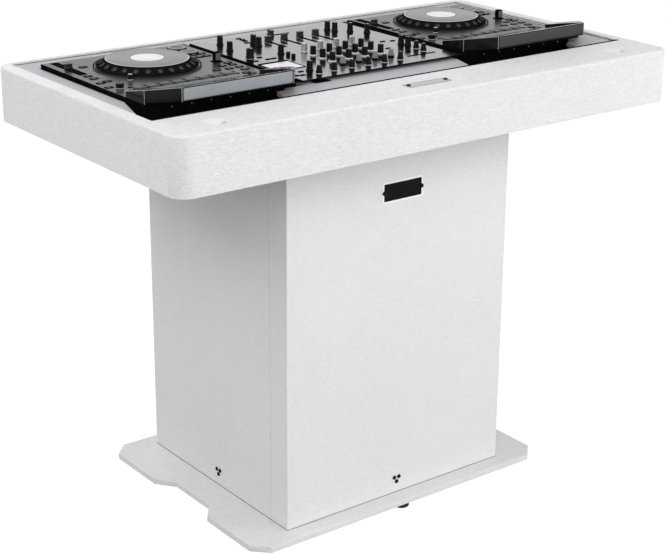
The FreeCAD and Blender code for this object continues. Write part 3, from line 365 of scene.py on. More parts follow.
def facing(form, place, outward):
    """Turns a form that stands on z = 0 to point outward, and sets it on a place."""
    turn = np.array(Vector((0, 0, 1)).rotation_difference(Vector(outward)).to_matrix())
    return form._replace(points=form.points @ turn.T + np.array(place))


screw_black = finish("screw_black", GRAIN, 0.008, 0.005, shine=0.1, Gloss=0.25, Matt=0.45,
                     Patch_scale=300.0)
left_face = box("column_left_panel")[0][0]
rear_face = box("column_rear_panel")[1][1]
screw = socket_screw()
panel_screws = []
for across, height in CLUSTER:
    panel_screws += [facing(screw, (left_face, COLUMN_Y + across, height), (-1, 0, 0)),
                     facing(screw, (-left_face, COLUMN_Y + across, height), (1, 0, 0)),
                     facing(screw, (across, rear_face, height), (0, 1, 0))]
piece("panel_screws_domed", joined(*panel_screws), [screw_black], stands_for=["panel_screws"])

# Front cover: a coated board with side returns that pulls off towards the audience. Its
# badge is a bare black plate with a white border, held by two of the screws.

dress(white_coat, "column_front_cover")


def rounded(width, length, corner, steps=4):
    """Rectangle about the origin whose corners are quarter circles."""
    turn = np.linspace(0, np.pi / 2, steps)
    x = corner * np.cos(turn)
    y = corner * np.sin(turn)
    reach = np.array([width / 2 - corner, length / 2 - corner])
    arcs = ((x, y), (-y, x), (-x, -y), (y, -x))
    signs = ((1, 1), (-1, 1), (-1, -1), (1, -1))
    return np.concatenate([np.stack(arc, axis=1) + reach * sign for arc, sign in zip(arcs, signs)])


def level_ring(width, length, corner, height, steps=4):
    """The outline of a rounded rectangle at one height."""
    plan = rounded(width, length, corner, steps)
    return np.column_stack([plan, np.full(len(plan), float(height))])


def pad(width, length, profile, corner, tints=0, steps=4):
    """Rounded rectangle carried up a profile of (inset, height) pairs, bottom to top."""
    rings = []
    for inset, height in profile:
        bend = max(corner - inset, corner / 4)
        rings.append(level_ring(width - 2 * inset, length - 2 * inset, bend, height, steps))
    return skin(rings, tints)


BADGE_BORDER = 3.9
badge_low, badge_high = box("front_badge")
badge_width, badge_thick, badge_height = badge_high - badge_low
badge_middle = (badge_low + badge_high) / 2
badge_white = finish("badge_white", GRAIN, 0.98, 0.96, Gloss=0.35, Matt=0.5)
badge_black = finish("badge_black", GRAIN, 0.005, 0.003, shine=0.06, Gloss=0.3, Matt=0.4)
border = pad(badge_width, badge_height, [(0, 0), (0, 0.9), (0.4, 1.2), (2.0, 1.2)], 3.0)
field = pad(badge_width - 2 * BADGE_BORDER, badge_height - 2 * BADGE_BORDER,
            [(0, 0.8), (0, badge_thick - 0.15), (0.3, badge_thick), (2.0, badge_thick)], 1.5, 1)
cover_face = badge_high[1]
piece("front_badge_plate", facing(joined(border, field), (0, cover_face, badge_middle[2]), (0, -1, 0)),
      [badge_white, badge_black], "front_cover", ["front_badge"])

badge_screw_x = box("cover_screws")[1][0] - SCREW_HEAD
cover_screws = [facing(screw, (across, cover_face, height), (0, -1, 0)) for across, height in CLUSTER]
cover_screws += [facing(screw, (x, badge_low[1], badge_middle[2]), (0, -1, 0))
                 for x in (-badge_screw_x, badge_screw_x)]
piece("cover_screws_domed", joined(*cover_screws), [screw_black], "front_cover",
      ["cover_screws"])

# Tray: a coated shell with a wide rim to the audience over a black floor board, bolted
# through the floor into the column. Black rails carry the machines.

tray_coat = finish("tray_coat", COAT, 0.92, 0.77, shine=0.4, Gloss=0.42, Matt=0.6, Stroke_height=0.002,
                   Stroke_tone=3.2)
dress(tray_coat, "tray_shell")
eased("tray_shell", 2.2)
dress(black_board, "tray_floor", "gear_risers", "fascia_battens")
dress(bracket_steel, "tray_bolts")

# Foot joint: a thin dark strip round the foot of the column, a painted shadow of the gap where
# its panels and cover stand on the base plate; it shows as a fine line round the foot.

JOINT_PROUD = 0.6
JOINT_HIGH = 0.9
JOINT_WIDE = 0.5
joint_low = np.minimum(box("column_left_panel")[0], box("column_front_cover")[0])
joint_high = np.maximum(box("column_right_panel")[1], box("column_rear_panel")[1])
joint_width = joint_high[0] - joint_low[0] + 2 * JOINT_PROUD
joint_length = joint_high[1] - joint_low[1] + 2 * JOINT_PROUD


def surround(outer, inner, height, edge=0.15):
    """Thin frame between two (width, length, corner) outlines with eased top edges."""
    (ow, ol, oc), (iw, il, ic) = outer, inner
    rings = [
        level_ring(ow, ol, oc, 0),
        level_ring(ow, ol, oc, height - edge),
        level_ring(ow - 2 * edge, ol - 2 * edge, oc, height),
        level_ring(iw + 2 * edge, il + 2 * edge, ic, height),
        level_ring(iw, il, ic, height - edge),
        level_ring(iw, il, ic, 0),
    ]
    return skin(rings, closed=True)


# Dark grey strip: painted shadow of the gap under the column.
joint_shade = finish("joint_shade", GRAIN, 0.1, 0.06, shine=0.05, Gloss=0.7, Matt=0.9)
joint_inner = (joint_width - 2 * JOINT_WIDE, joint_length - 2 * JOINT_WIDE, 0.4)
joint = surround((joint_width, joint_length, 0.8), joint_inner, JOINT_HIGH, 0.1)
joint_x, joint_y = (joint_low + joint_high)[:2] / 2
piece("foot_joint", moved(joint, joint_x, joint_y, box("base_plate")[1][2]), [joint_shade])

# Rim fittings: two smooth white caps that plug the cable bores of the rim, each with a pale
# screw beside it, and a bare brushed plate with a fine line round it on two black screws.


def middle(name):
    """x and y of the middle of a CAD node's box."""
    return (sum(box(name)) / 2)[:2]


CAP = 17.5
tray_top = box("tray_shell")[1][2]
cap_x = box("rim_caps")[1][0] - CAP
cap_y = middle("rim_caps")[1]
cap_white = finish("cap_white", GRAIN, 0.97, 0.94, shine=0.2, Gloss=0.5, Matt=0.6)
cap_profile = [(CAP - 0.6, -2.4), (CAP - 0.1, -2.2), (CAP - 0.1, 0.01), (CAP + 0.4, 0.02), (CAP, 0.25),
               (CAP - 1.6, 0.5), (CAP - 6, 0.58), (4, 0.6)]
cap_places = [(x, cap_y, tray_top) for x in (-cap_x, cap_x)]
piece("rim_caps_smooth", spread(lathe(cap_profile, 64), cap_places), [cap_white],
      stands_for=["rim_caps"])

plate_low, plate_high = box("rim_badge")
plate_width, plate_depth, plate_thick = plate_high - plate_low
badge_silver = finish("badge_silver", BRUSHED, 0.6, 0.48, COOL, metal=0.4, Gloss=0.3, Matt=0.45)
line_dark = finish("line_dark", GRAIN, 0.14, 0.1, shine=0.2, Gloss=0.4, Matt=0.5)
groove = plate_thick - 0.15
plate_profile = [(0, 0), (0, plate_thick - 0.3), (0.3, plate_thick), (1.6, plate_thick), (1.8, groove),
                 (2.9, groove), (3.1, plate_thick), (6.0, plate_thick)]
rim_plate = pad(plate_width, plate_depth, plate_profile, 2.5, (0, 0, 0, 1, 1, 1, 0))
plate_x, plate_y = middle("rim_badge")
piece("rim_plate", moved(rim_plate, plate_x, plate_y, plate_low[2]), [badge_silver, line_dark],
      stands_for=["rim_badge"])

RIM_SCREW_X = 46.0
CAP_SCREW = (6.0, -24.0)
screw_pale = finish("screw_pale", GRAIN, 0.62, 0.5, Gloss=0.3, Matt=0.5, Patch_scale=300.0)
rim_screws = [moved(screw, plate_x + x, plate_y, plate_high[2]) for x in (-RIM_SCREW_X, RIM_SCREW_X)]
rim_screws += [tinted(moved(screw, x + CAP_SCREW[0], cap_y + CAP_SCREW[1], tray_top), 1)
               for x in (-cap_x, cap_x)]
piece("rim_screws_domed", joined(*rim_screws), [screw_black, screw_pale],
      stands_for=["rim_screws"])

# Fascia: satin grey boards that close the tray round the machines, with a loose tongue
# behind the mixer over the cable bay. Their cut edges are eased.

VIOLET = (1.0, 0.97, 1.03)
fascia_grey = finish("fascia_grey", GRAIN, 0.52, 0.47, VIOLET, Gloss=0.4, Matt=0.5)
dress(fascia_grey, "fascia_frame", "fascia_tongue")
eased("fascia_frame", 0.6)
eased("fascia_tongue", 0.6)

# Fascia shade: a black strip round the inside of the rim and along its front, a painted shadow of
# the gap between the rim and the grey boards. Black triangles lie in the two front corners. A
# flap of the same black lies over the finger slot of the tongue, a painted shadow of the slot.

# Black for the painted shadows in the gaps round the fascia and in its finger slot.
shade_black = finish("shade_black", GRAIN, 0.008, 0.005, shine=0.0, Gloss=0.8, Matt=0.95, Grain_scale=700.0,
                    Grain_height=0.0001)
RIM_SHADE = 2.0
FRONT_SHADE = 8.5
FRONT_GAP = 4.0
CORNER_TRIANGLE = (24.0, 16.0)
SHADE_CLEAR = 0.1
battens_low, battens_high = box("fascia_battens")
boards_low, boards_high = box("fascia_frame")
shade_width = battens_high[0] - battens_low[0]
shade_front = boards_low[1] - FRONT_GAP
shade_length = battens_high[1] - shade_front
shade_height = tray_top - boards_high[2] - SHADE_CLEAR
loop = surround((shade_width, shade_length, 1.0), (shade_width - 2 * RIM_SHADE, shade_length - 2 * RIM_SHADE, 0.5), 0.5)
strip = pad(shade_width - 0.4, FRONT_SHADE, [(0, 0), (0, shade_height - 0.4), (0.4, shade_height)], 0.8)
corner = np.array([(0, 0), (CORNER_TRIANGLE[0], 0), (0, CORNER_TRIANGLE[1])])
gussets = []
for side in (-1, 1):
    shift = (side * (shade_width / 2 - SHADE_CLEAR), shade_front + SHADE_CLEAR)
    plan = corner[::-side] * (-side, 1) + shift
    gussets.append(skin([np.column_stack([plan, np.full(3, boards_high[2] + rise)]) for rise in (0, 1)]))
piece("fascia_shade", joined(moved(loop, 0, (shade_front + battens_high[1]) / 2, boards_high[2]),
                            moved(strip, 0, shade_front + FRONT_SHADE / 2, boards_high[2]), *gussets),
      [shade_black])

# Black flap: a painted shadow of the finger slot, showing just behind the mixer's back edge.
FLAP = (40.0, 18.0)
FLAP_X = -157.0
FLAP_SHOWS = 6.0
mixer_back = box("mixer_top_panel")[0][1]
flap_y = mixer_back - FLAP_SHOWS + FLAP[1] / 2
flap = pad(*FLAP, [(0, -0.3), (0, 0.3), (0.1, 0.4)], 1.0)
piece("finger_slot_shade_flap", moved(flap, FLAP_X, flap_y, boards_high[2]), [shade_black])

# Player cases: folded black steel with a satin dark top panel, which has a black band round its
# cut edge. A row of small plated screws holds the case at the back, under the screen.

PLAYERS = ("left_player", "right_player")
PLATE_TOP = box("mixer_top_panel")[1][2]
player_x = {name: middle(name + "_chassis")[0] for name in PLAYERS}
player_edge = box("left_player_chassis")[1][1]
player_rear = box("left_player_chassis")[0][1]
case_black = finish("case_black", GRAIN, 0.007, 0.004, shine=0.0, Gloss=0.45, Matt=0.65,
                    Grain_height=0.00006, Grain_scale=900.0)
player_panel = finish("player_panel", GRAIN, 0.03, 0.022, COOL, shine=0.45, Gloss=0.22, Matt=0.34,
                      Patch_scale=15.0)
screw_plated = finish("screw_plated", GRAIN, 0.4, 0.3, COOL, metal=0.9, Gloss=0.2, Matt=0.35,
                      Patch_scale=300.0)
PANEL_THICK = 3.0
PANEL_BAND = 0.4
STRIP_PROFILE = [(0, 0), (0, 0.2), (0.1, 0.3)]
# Black strips on the sides of each top panel: painted shade of the gaps beside the player.
SIDE_SHADE_STRIPS = {"left_player": (1.2, 2.6), "right_player": (8.0, 1.2)}


def panel_edge(case, left, right):
    """Thin black band round the cut edge of a machine's top panel, with a black strip on each side as painted
    shade of the gap beside it.
    """
    low, high = box(case)
    width = high[0] - low[0]
    length = high[1] - low[1]
    outer = (width + 2 * PANEL_BAND, length + 2 * PANEL_BAND, 0.6)
    band = surround(outer, (width, length, 0.2), PANEL_THICK, 0.1)
    strips = [moved(pad(wide, length, STRIP_PROFILE, 0.4), side * (width - wide) / 2)
              for side, wide in ((-1, left), (1, right))]
    form = joined(moved(band, z=-PANEL_THICK), *strips)
    return moved(form, *middle(case), PLATE_TOP)


CASE_SCREWS = 6
CASE_SCREW_PITCH = 42.4
CASE_SCREW_START = -109.0
CASE_SCREW_DROP = 11.0
case_screw_z = PLATE_TOP - CASE_SCREW_DROP
case_screw = socket_screw(1.9, 0.9, 0.8)
for name in PLAYERS:
    dress(case_black, name + "_chassis")
    dress(player_panel, name + "_top_panel")
    start = player_x[name] + CASE_SCREW_START
    row = [facing(case_screw, (start + CASE_SCREW_PITCH * number, player_rear, case_screw_z), (0, -1, 0))
           for number in range(CASE_SCREWS)]
    piece(name + "_case_screws", joined(*row), [screw_plated])
    piece(name + "_panel_edge", panel_edge(name + "_chassis", *SIDE_SHADE_STRIPS[name]), [case_black])

# Jog wheels: a black moulded skirt with finger dimples under a spun metal plate. It turns
# about a lit disc that stays still, inside a gloss black trim ring on the panel.


def spun_group():
    """Spun metal: noise along the distance from an upright axis through a given middle."""
    sockets = [("Middle", PLACE, (0.0, 0.0, 0.0)), ("Ring scale", NUMBER, 900.0),
               ("Ring height", NUMBER, 0.000005)]
    group, given, place = new_group("spun", sockets)
    away = worked(group, "SUBTRACT", place, given["Middle"], kind=VECTOR_MATH)
    flat = worked(group, "MULTIPLY", away, (1.0, 1.0, 0.0), kind=VECTOR_MATH)
    reach = add(group, VECTOR_MATH, {0: flat}, operation="LENGTH").outputs["Value"]
    ring = add(group, "ShaderNodeTexNoise", {"W": reach, "Detail": 3.0, "Scale": given["Ring scale"]},
               noise_dimensions="1D").outputs["Fac"]
    cloud = noise(group, place, 30.0, 3.0)
    shade = ranged(group, ring, -0.5, 1.5)
    return close_group(group, given, shade, cloud, ring, given["Ring height"])


def hoop(inner, outer, height, edge=0.15, around=48, tints=0):
    """Flat ring lying on a plate: a rectangle with eased top edges turned about Z."""
    profile = [(outer, 0), (outer, height - edge), (outer - edge, height), (inner + edge, height),
               (inner, height - edge), (inner, 0)]
    return lathe(profile, around, tints, closed=True)


DIMPLES = 24
DIMPLE_RADIUS = 11.0
DIMPLE_SINK = 2.0
SLOPE_FOOT = (99.0, 3.7)
SLOPE_HEAD = (82.8, 15.7)
LIP = [(99.4, 0.0), (100.0, 0.6), (100.0, 2.9), (99.6, 3.4)]
PLATE = [(82.6, 15.9), (80.8, 16.5), (79.6, 16.5), (79.2, 16.2), (78.4, 16.2), (78.0, 16.4), (36.4, 16.4),
         (34.4, 16.4), (33.9, 16.0), (33.6, 13.6)]
PLATE_TINTS = [2, 1, 1, 1, 1, 1, 1, 1, 1, 1]
DIMPLE_STEPS = (0.3, 0.8, 1.3, 1.7)
DIMPLE_TINT = 3


def jog_form(across=24, per_dimple=18):
    """Skirt and plate turned about Z; on the slope the distance from the nearest dimple's middle
    gives the sink of a ball pressed into it, along the slope's normal, and its step of painted highlight."""
    slope = np.linspace(SLOPE_FOOT, SLOPE_HEAD, across)
    profile = np.concatenate([LIP, slope, PLATE])
    angle = np.linspace(0, 2 * np.pi, DIMPLES * per_dimple, endpoint=False)
    step = 2 * np.pi / DIMPLES
    off = (angle + step / 2) % step - step / 2
    run = np.subtract(SLOPE_HEAD, SLOPE_FOOT)
    length = np.hypot(*run)
    along = np.full(len(profile), 2 * DIMPLE_RADIUS)
    along[len(LIP):len(LIP) + across] = np.linspace(-length / 2, length / 2, across)
    gap = np.hypot(along[:, None], profile[:, :1] * off[None, :])
    ball = np.sqrt(np.maximum(DIMPLE_RADIUS ** 2 - gap ** 2, 0))
    sink = np.maximum(ball - (DIMPLE_RADIUS - DIMPLE_SINK), 0)
    reach = profile[:, :1] - sink * run[1] / length
    level = profile[:, 1:] + sink * run[0] / length
    rings = np.stack([reach * np.cos(angle), reach * np.sin(angle), level], axis=2)
    bands = [0] * (len(LIP) + across) + PLATE_TINTS
    wheel = skin(rings, bands, closed=True)
    ahead = sink + np.roll(sink, -1, axis=0)
    highlight_step = np.digitize((ahead + np.roll(ahead, -1, axis=1)) / 4, DIMPLE_STEPS)
    tints = np.where(highlight_step > 0, DIMPLE_TINT - 1 + highlight_step, np.reshape(wheel.tints, highlight_step.shape))
    return wheel._replace(tints=tints.ravel().tolist())


SPUN = spun_group()
jog_plastic = finish("jog_plastic", GRAIN, 0.01, 0.007, shine=0.0, Gloss=0.28, Matt=0.42,
                     Grain_height=0.00003)
# Each dimple steps lighter towards its middle: a painted highlight.
DIMPLE_HIGHLIGHT_TONES = (0.014, 0.026, 0.045, 0.07)
DIMPLE_SHADE = 0.8
dimple_highlights = [finish(f"jog_dimple_{number}", GRAIN, value, value * DIMPLE_SHADE, COOL, shine=0.1, Gloss=0.3,
                      Matt=0.4)
               for number, value in enumerate(DIMPLE_HIGHLIGHT_TONES)]
display_white = finish("display_white", GRAIN, 0.78, 0.66, COOL, glow=0.15, Gloss=0.1, Matt=0.2,
                       Patch_scale=30.0, Grain_height=0.0)
bezel_black = finish("bezel_black", GRAIN, 0.012, 0.008, Gloss=0.2, Matt=0.3)
trim_gloss = finish("trim_gloss", GRAIN, 0.006, 0.004, Gloss=0.04, Matt=0.08, Grain_height=0.0)
trim_bright = finish("trim_bright", GRAIN, 0.62, 0.5, COOL, metal=0.9, Gloss=0.14, Matt=0.26)
TRIM = (103.6, 106.2, 3.2)
TRIM_TINTS = (1, 0, 0, 0, 0, 0)
disc_profile = [(33.3, 0), (33.3, 2.6), (32.9, 2.95), (32.0, 3.0), (24, 3.0), (8, 3.0)]
jog_wheel = jog_form()
jog_disc = lathe(disc_profile, 96, (0, 0, 1, 1, 1))
jog_trim = hoop(*TRIM, 0.2, 144, TRIM_TINTS)
for name in PLAYERS:
    wheel = name + "_jog_wheel"
    display = name + "_jog_display"
    x, y = middle(wheel)
    jog_plate = finish(name + "_jog_plate", SPUN, 0.29, 0.2, VIOLET, metal=0.8, Gloss=0.28, Matt=0.42,
                       Middle=(x * MM, y * MM, 0.0))
    piece(name + "_jog", moved(jog_wheel, x, y, box(wheel)[0][2]),
          [jog_plastic, jog_plate, trim_bright, *dimple_highlights], wheel, [wheel])
    piece(name + "_jog_disc", moved(jog_disc, x, y, box(display)[0][2]), [bezel_black, display_white],
          stands_for=[display])
    piece(name + "_jog_trim", moved(jog_trim, x, y, PLATE_TOP), [jog_plastic, trim_gloss])

# Tempo faders: a dark cap with a silver top on a steel stem in a slot, with a dark track plate
# fixed over the slot and a printed scale beside it.

FADER_CAP = (15.0, 10.0, 11.5)
STEM_BELOW = 11.4
RIB_PLACES = [(0, -3.3), (0, -1.8), (0, 1.8), (0, 3.3)]


def fader_cap():
    """Waisted cap on z = 0 with ribs across its top, a white line in the middle and a stem."""
    width, depth, height = FADER_CAP
    top = height - 0.5
    waist = [(0.4, 0), (0, 0.4), (0, 2.6), (1.0, 5.0), (1.0, 7.2), (0, 10.0), (0.2, top - 0.2), (0.7, top),
             (2.0, top)]
    cap = pad(width, depth, waist, 1.8, (0, 0, 0, 0, 0, 0, 3, 3))
    rib = pad(width - 2.4, 0.8, [(0, top - 0.3), (0, height - 0.2), (0.2, height)], 0.35)
    line = pad(width - 1.6, 0.9, [(0, top - 0.3), (0, height - 0.35), (0.15, height - 0.2)], 0.3, 1)
    stem = pad(3.8, 3.8, [(0.2, -STEM_BELOW), (0, 0.2 - STEM_BELOW), (0, 0.4)], 0.5)
    return joined(cap, line, tinted(stem, 2), spread(rib, RIB_PLACES))


metal_knob = finish("metal_knob", GRAIN, 0.62, 0.5, COOL, metal=1.0, Gloss=0.1, Matt=0.18,
                    Patch_scale=200.0)
cap_grey = finish("cap_grey", GRAIN, 0.022, 0.014, shine=0.2, Gloss=0.35, Matt=0.5)
cap_silver = finish("cap_silver", GRAIN, 0.66, 0.56, COOL, metal=0.5, Gloss=0.25, Matt=0.4)
print_white = finish("print_white", GRAIN, 0.85, 0.75, Gloss=0.5, Matt=0.65)
track_black = finish("track_black", GRAIN, 0.005, 0.003, shine=0.0, Gloss=0.35, Matt=0.5)
TRACK = (18.0, 122.0, 3.0)
TRACK_SLOT = (5.2, 105.4, 2.2)
TICKS = 11
TICK_PITCH = 10.0
TICK_X = 11.5
PRINT = [(0, 0), (0, 0.08), (0.05, 0.12)]
tick = pad(4.0, 0.6, PRINT, 0.2)
tempo_scale = [moved(tick, TICK_X, TICK_PITCH * (number - TICKS // 2)) for number in range(TICKS)]
tempo_scale.append(moved(pad(7.0, 0.9, PRINT, 0.3), TICK_X + 1.5, 0, 0.02))
for name in PLAYERS:
    fader = name + "_tempo_fader"
    x, y = middle(fader)
    piece(name + "_tempo_cap", moved(fader_cap(), x, y, box(fader)[1][2] - FADER_CAP[2]),
          [cap_grey, print_white, metal_knob, cap_silver], fader, [fader])
    piece(name + "_tempo_track", moved(surround(TRACK, TRACK_SLOT, 0.35), x, y, PLATE_TOP), [track_black])
    piece(name + "_tempo_scale", moved(joined(*tempo_scale), x, y, PLATE_TOP), [print_white])

# Play and cue buttons: round pressed caps with a bright ring round a dark dished face. They
# sink into a bore of the panel with a thin trim round it.

BUTTON_SUNK = 7.0
button_profile = [(16.7, -BUTTON_SUNK), (16.9, 0.2 - BUTTON_SUNK), (16.9, 2.6), (16.4, 3.2), (15.6, 3.5),
                  (14.8, 3.4), (14.2, 2.9), (13.4, 2.8), (13.0, 3.1), (8.0, 2.8), (1.0, 2.7)]
button_face = finish("button_face", GRAIN, 0.03, 0.018, Gloss=0.25, Matt=0.4)
button_ring = finish("button_ring", GRAIN, 0.4, 0.3, COOL, metal=0.9, Gloss=0.1, Matt=0.2)
button_form = lathe(button_profile, 72, (0, 0, 1, 1, 1, 1, 0, 0, 0, 0))
button_trim = hoop(17.6, 20.4, 0.5, around=72)
for name in PLAYERS:
    for kind in ("play", "cue"):
        button = f"{name}_{kind}_button"
        x, y = middle(button)
        piece(button + "_cap", moved(button_form, x, y, PLATE_TOP), [button_face, button_ring],
              button, [button])
        piece(button + "_trim", moved(button_trim, x, y, PLATE_TOP), [track_black])

# Hot cue keys: a row of eight soft grey pads with a shallow dish, all on one rubber mat.
# Small dark marks on the panel part them.


def turned(form, axis, degrees):
    """The form turned about an axis through the origin."""
    matrix = np.array(Matrix.Rotation(math.radians(degrees), 3, axis))
    return form._replace(points=form.points @ matrix.T)


KEYS = 8
KEY_PITCH = 28.5
KEY_SIZE = (21.0, 14.0)
KEY_SUNK = 5.0
MARK_IN = 9.0
key_grey = finish("key_grey", GRAIN, 0.13, 0.1, COOL, shine=0.2, Gloss=0.4, Matt=0.55)
key_dark = finish("key_dark", GRAIN, 0.006, 0.004, shine=0.0, Gloss=0.35, Matt=0.5)
key_profile = [(0.2, -KEY_SUNK), (0, 0.2 - KEY_SUNK), (0, 1.4), (0.2, 1.8), (0.7, 2.0), (1.6, 1.9),
               (4.0, 1.75)]
key_form = pad(*KEY_SIZE, key_profile, 2.0)
key_mark = turned(pad(9.0, 5.0, [(0, 0), (0, 0.5), (0.2, 0.7)], 1.2), "Z", -20)
for name in PLAYERS:
    keys = name + "_hot_cue_keys"
    x, y = middle(keys)
    columns = [x + KEY_PITCH * (number - (KEYS - 1) / 2) for number in range(KEYS)]
    gaps = [x + KEY_PITCH * (number - KEYS / 2) for number in range(KEYS + 1)]
    piece(name + "_hot_cue_pads", spread(key_form, [(column, y, PLATE_TOP) for column in columns]),
          [key_grey], keys, [keys])
    marks = [(gap, y + side * MARK_IN, PLATE_TOP) for gap in gaps for side in (-1, 1)]
    piece(name + "_hot_cue_marks", spread(key_mark, marks), [key_dark])

# Direction levers: a dark moulded paddle with a grey plate on its front and back, which
# rocks in a dark framed opening at the DJ's right hand.

LEVER = (14.0, 12.0)
LEVER_PLATE_Z = 11.0
LEVER_FRAME = ((21.0, 21.0, 4.0), (15.6, 15.6, 2.4))
lever_profile = [(1.6, -7.0), (1.4, 0.6), (0.6, 2.4), (0.0, 6.0), (0.0, 17.0), (0.3, 19.0), (0.9, 19.7),
                 (1.8, 20.0)]
lever_plate = pad(11.6, 14.0, [(0, -0.2), (0, 0.1), (0.2, 0.25)], 1.5)
lever_plates = [facing(lever_plate, (0, side * LEVER[1] / 2, LEVER_PLATE_Z), (0, side, 0))
                for side in (-1, 1)]
lever_form = joined(tinted(pad(*LEVER, lever_profile, 2.0, steps=5), 1), *lever_plates)
for name in PLAYERS:
    lever = name + "_direction_lever"
    x, y = middle(lever)
    piece(name + "_lever", moved(lever_form, x, y, PLATE_TOP), [key_grey, key_dark], lever,
          [lever])
    piece(name + "_lever_frame", moved(surround(*LEVER_FRAME, 0.8), x, y, PLATE_TOP), [key_dark])

# Player knobs: a small dark vinyl speed knob with a bright foot and top, and a dark fluted
# selector with a bright band, both on steel shafts through the panel.

knob_black = finish("knob_black", GRAIN, 0.008, 0.005, shine=0.1, Gloss=0.14, Matt=0.24,
                    Grain_height=0.00002)
KNOB_GAP = 0.4
vinyl_profile = [(3, -11), (3, 0), (5.2, 0), (5.5, 0.3), (5.5, 2.0), (5.0, 2.6), (4.7, 11.6), (4.2, 12.6),
                 (3.4, 13.0), (1, 13)]
vinyl_depth = (0, 0, 0, 0, 0, 0.07, 0.07, 0, 0, 0)
vinyl_form = lathe(vinyl_profile, 72, (1, 1, 1, 1, 1, 0, 0, 1, 1), 18, vinyl_depth)
selector_profile = [(3, -11), (3, 0), (7.6, 0), (8, 0.4), (8, 1.6), (7.7, 2.0), (7.6, 9.2), (7.2, 10.4),
                    (6.4, 11.0), (5.4, 10.8), (1, 10.6)]
selector_depth = (0, 0, 0, 0, 0, 0.05, 0.05, 0, 0, 0, 0)
selector_form = lathe(selector_profile, 96, (1, 1, 1, 1, 1, 0, 0, 0, 0, 0), 24, selector_depth)
for name in PLAYERS:
    for kind, form in (("vinyl_speed_knob", vinyl_form), ("selector_knob", selector_form)):
        knob = f"{name}_{kind}"
        x, y = middle(knob)
        piece(knob + "_turned", moved(form, x, y, PLATE_TOP + KNOB_GAP),
              [knob_black, metal_knob], knob, [knob])

# Small player keys: flat grey keys in wide black frames, set in the panel round the jog
# wheel. Places are (x from the middle, distance from the DJ's edge).

SMALL_KEYS = [(-109, 69), (-139, 142), (-139, 166), (-147, 205), (-129, 199), (-151, 243),
              (126, 101), (146, 99), (125, 123), (144, 122), (143, 198), (119, 216), (143, 216),
              (118, 242), (143, 240), (90, 241), (140, 264), (127, 289), (132, 301)]
FLAT_KEY = [(0, 0), (0, 0.7), (0.3, 1.0), (1.2, 1.05)]
small_key = tinted(pad(10.0, 4.6, FLAT_KEY, 1.4), 1)
framed_key = joined(small_key, surround((17.0, 12.6, 2.4), (10.2, 4.8, 1.5), 0.8))
for name in PLAYERS:
    places = [(player_x[name] + x, player_edge - row, PLATE_TOP) for x, row in SMALL_KEYS]
    piece(name + "_small_keys", spread(framed_key, places), [key_dark, key_grey])

# Screens: gloss black housings that lean over the back of each player, with dark glass to
# the DJ and a satin plate let into the back, lighter on the left player as a painted reflection.

screen_black = finish("screen_black", GRAIN, 0.008, 0.005, shine=0.15, Gloss=0.1, Matt=0.2,
                      Grain_height=0.0)
screen_glass = finish("screen_glass", GRAIN, 0.006, 0.004, COOL, shine=0.25, Gloss=0.06, Matt=0.12,
                      Grain_height=0.0)
SLATE = (0.9, 0.97, 1.05)
# The left plate's lighter tone is a painted reflection; both plates are one finish.
REAR_PAINTED_LIGHT_TONES = {"left_player": 0.33, "right_player": 0.035}
REAR_SHADE = 0.85
# Pale rods along the housing edges: painted highlights.
edge_highlight = finish("edge_highlight", GRAIN, 0.4, 0.32, COOL, metal=0.3, Gloss=0.2, Matt=0.3)
EDGE_ROUND = 0.7


def rod(start, end, radius, around=8):
    """Thin round bar between two points: a circle square to the line at both ends."""
    along = Vector(end - start)
    turn = np.linspace(0, 2 * np.pi, around, endpoint=False)
    circle = np.column_stack([radius * np.cos(turn), radius * np.sin(turn), np.zeros(around)])
    flat = circle @ np.array(Vector((0, 0, 1)).rotation_difference(along).to_matrix()).T
    return skin([flat + start, flat + end])


EDGE_FRONT = (164.5, -62.0, 12.0)
EDGE_CREST = (164.5, -129.0, 26.5)
EDGE_SHOULDER = (151.0, -152.0, 30.8)
EDGE_REAR = (122.0, -188.0, 37.5)
EDGE_FOOT = (164.5, -129.0, 0.5)
EDGE_REAR_FOOT = (122.0, -188.0, 11.5)
EDGE_LINES = [(EDGE_FRONT, EDGE_CREST), (EDGE_CREST, EDGE_SHOULDER), (EDGE_SHOULDER, EDGE_REAR),
              (EDGE_FOOT, EDGE_CREST), (EDGE_REAR_FOOT, EDGE_REAR)]


def screen_edge_highlights(side):
    """Painted highlights along the edges of one end of a housing: its upright back corners and its top side
    edge.
    """
    mirror = (side, 1, 1)
    return joined(*[rod(np.multiply(start, mirror), np.multiply(end, mirror), EDGE_ROUND)
                    for start, end in EDGE_LINES])


both_ends = joined(screen_edge_highlights(-1), screen_edge_highlights(1))
REAR_PLATE = (238.0, 22.0, 2.0)
REAR_PLATE_Z = 960.5
rear_plate = pad(*REAR_PLATE[:2], [(0, -0.4), (0, 0.3), (0.3, 0.5), (3.0, 0.5)], REAR_PLATE[2])
for name in PLAYERS:
    dress(screen_black, name + "_screen_housing")
    eased(name + "_screen_housing", 1.0)
    dress(screen_glass, name + "_screen_glass")
    back = box(name + "_screen_housing")[0][1]
    light = REAR_PAINTED_LIGHT_TONES[name]
    screen_rear = finish(name + "_screen_rear", GRAIN, light, light * REAR_SHADE, SLATE, Gloss=0.25, Matt=0.4,
                         Patch_scale=12.0)
    piece(name + "_screen_rear", facing(rear_plate, (player_x[name], back, REAR_PLATE_Z), (0, -1, 0)),
          [screen_rear])
    piece(name + "_screen_edge_highlights", moved(both_ends, player_x[name], 0, PLATE_TOP), [edge_highlight])

# Mixer: a folded black steel case under a bright brushed metal panel that overhangs it at the
# back. A thin black band runs round the panel, with a strip along each side.

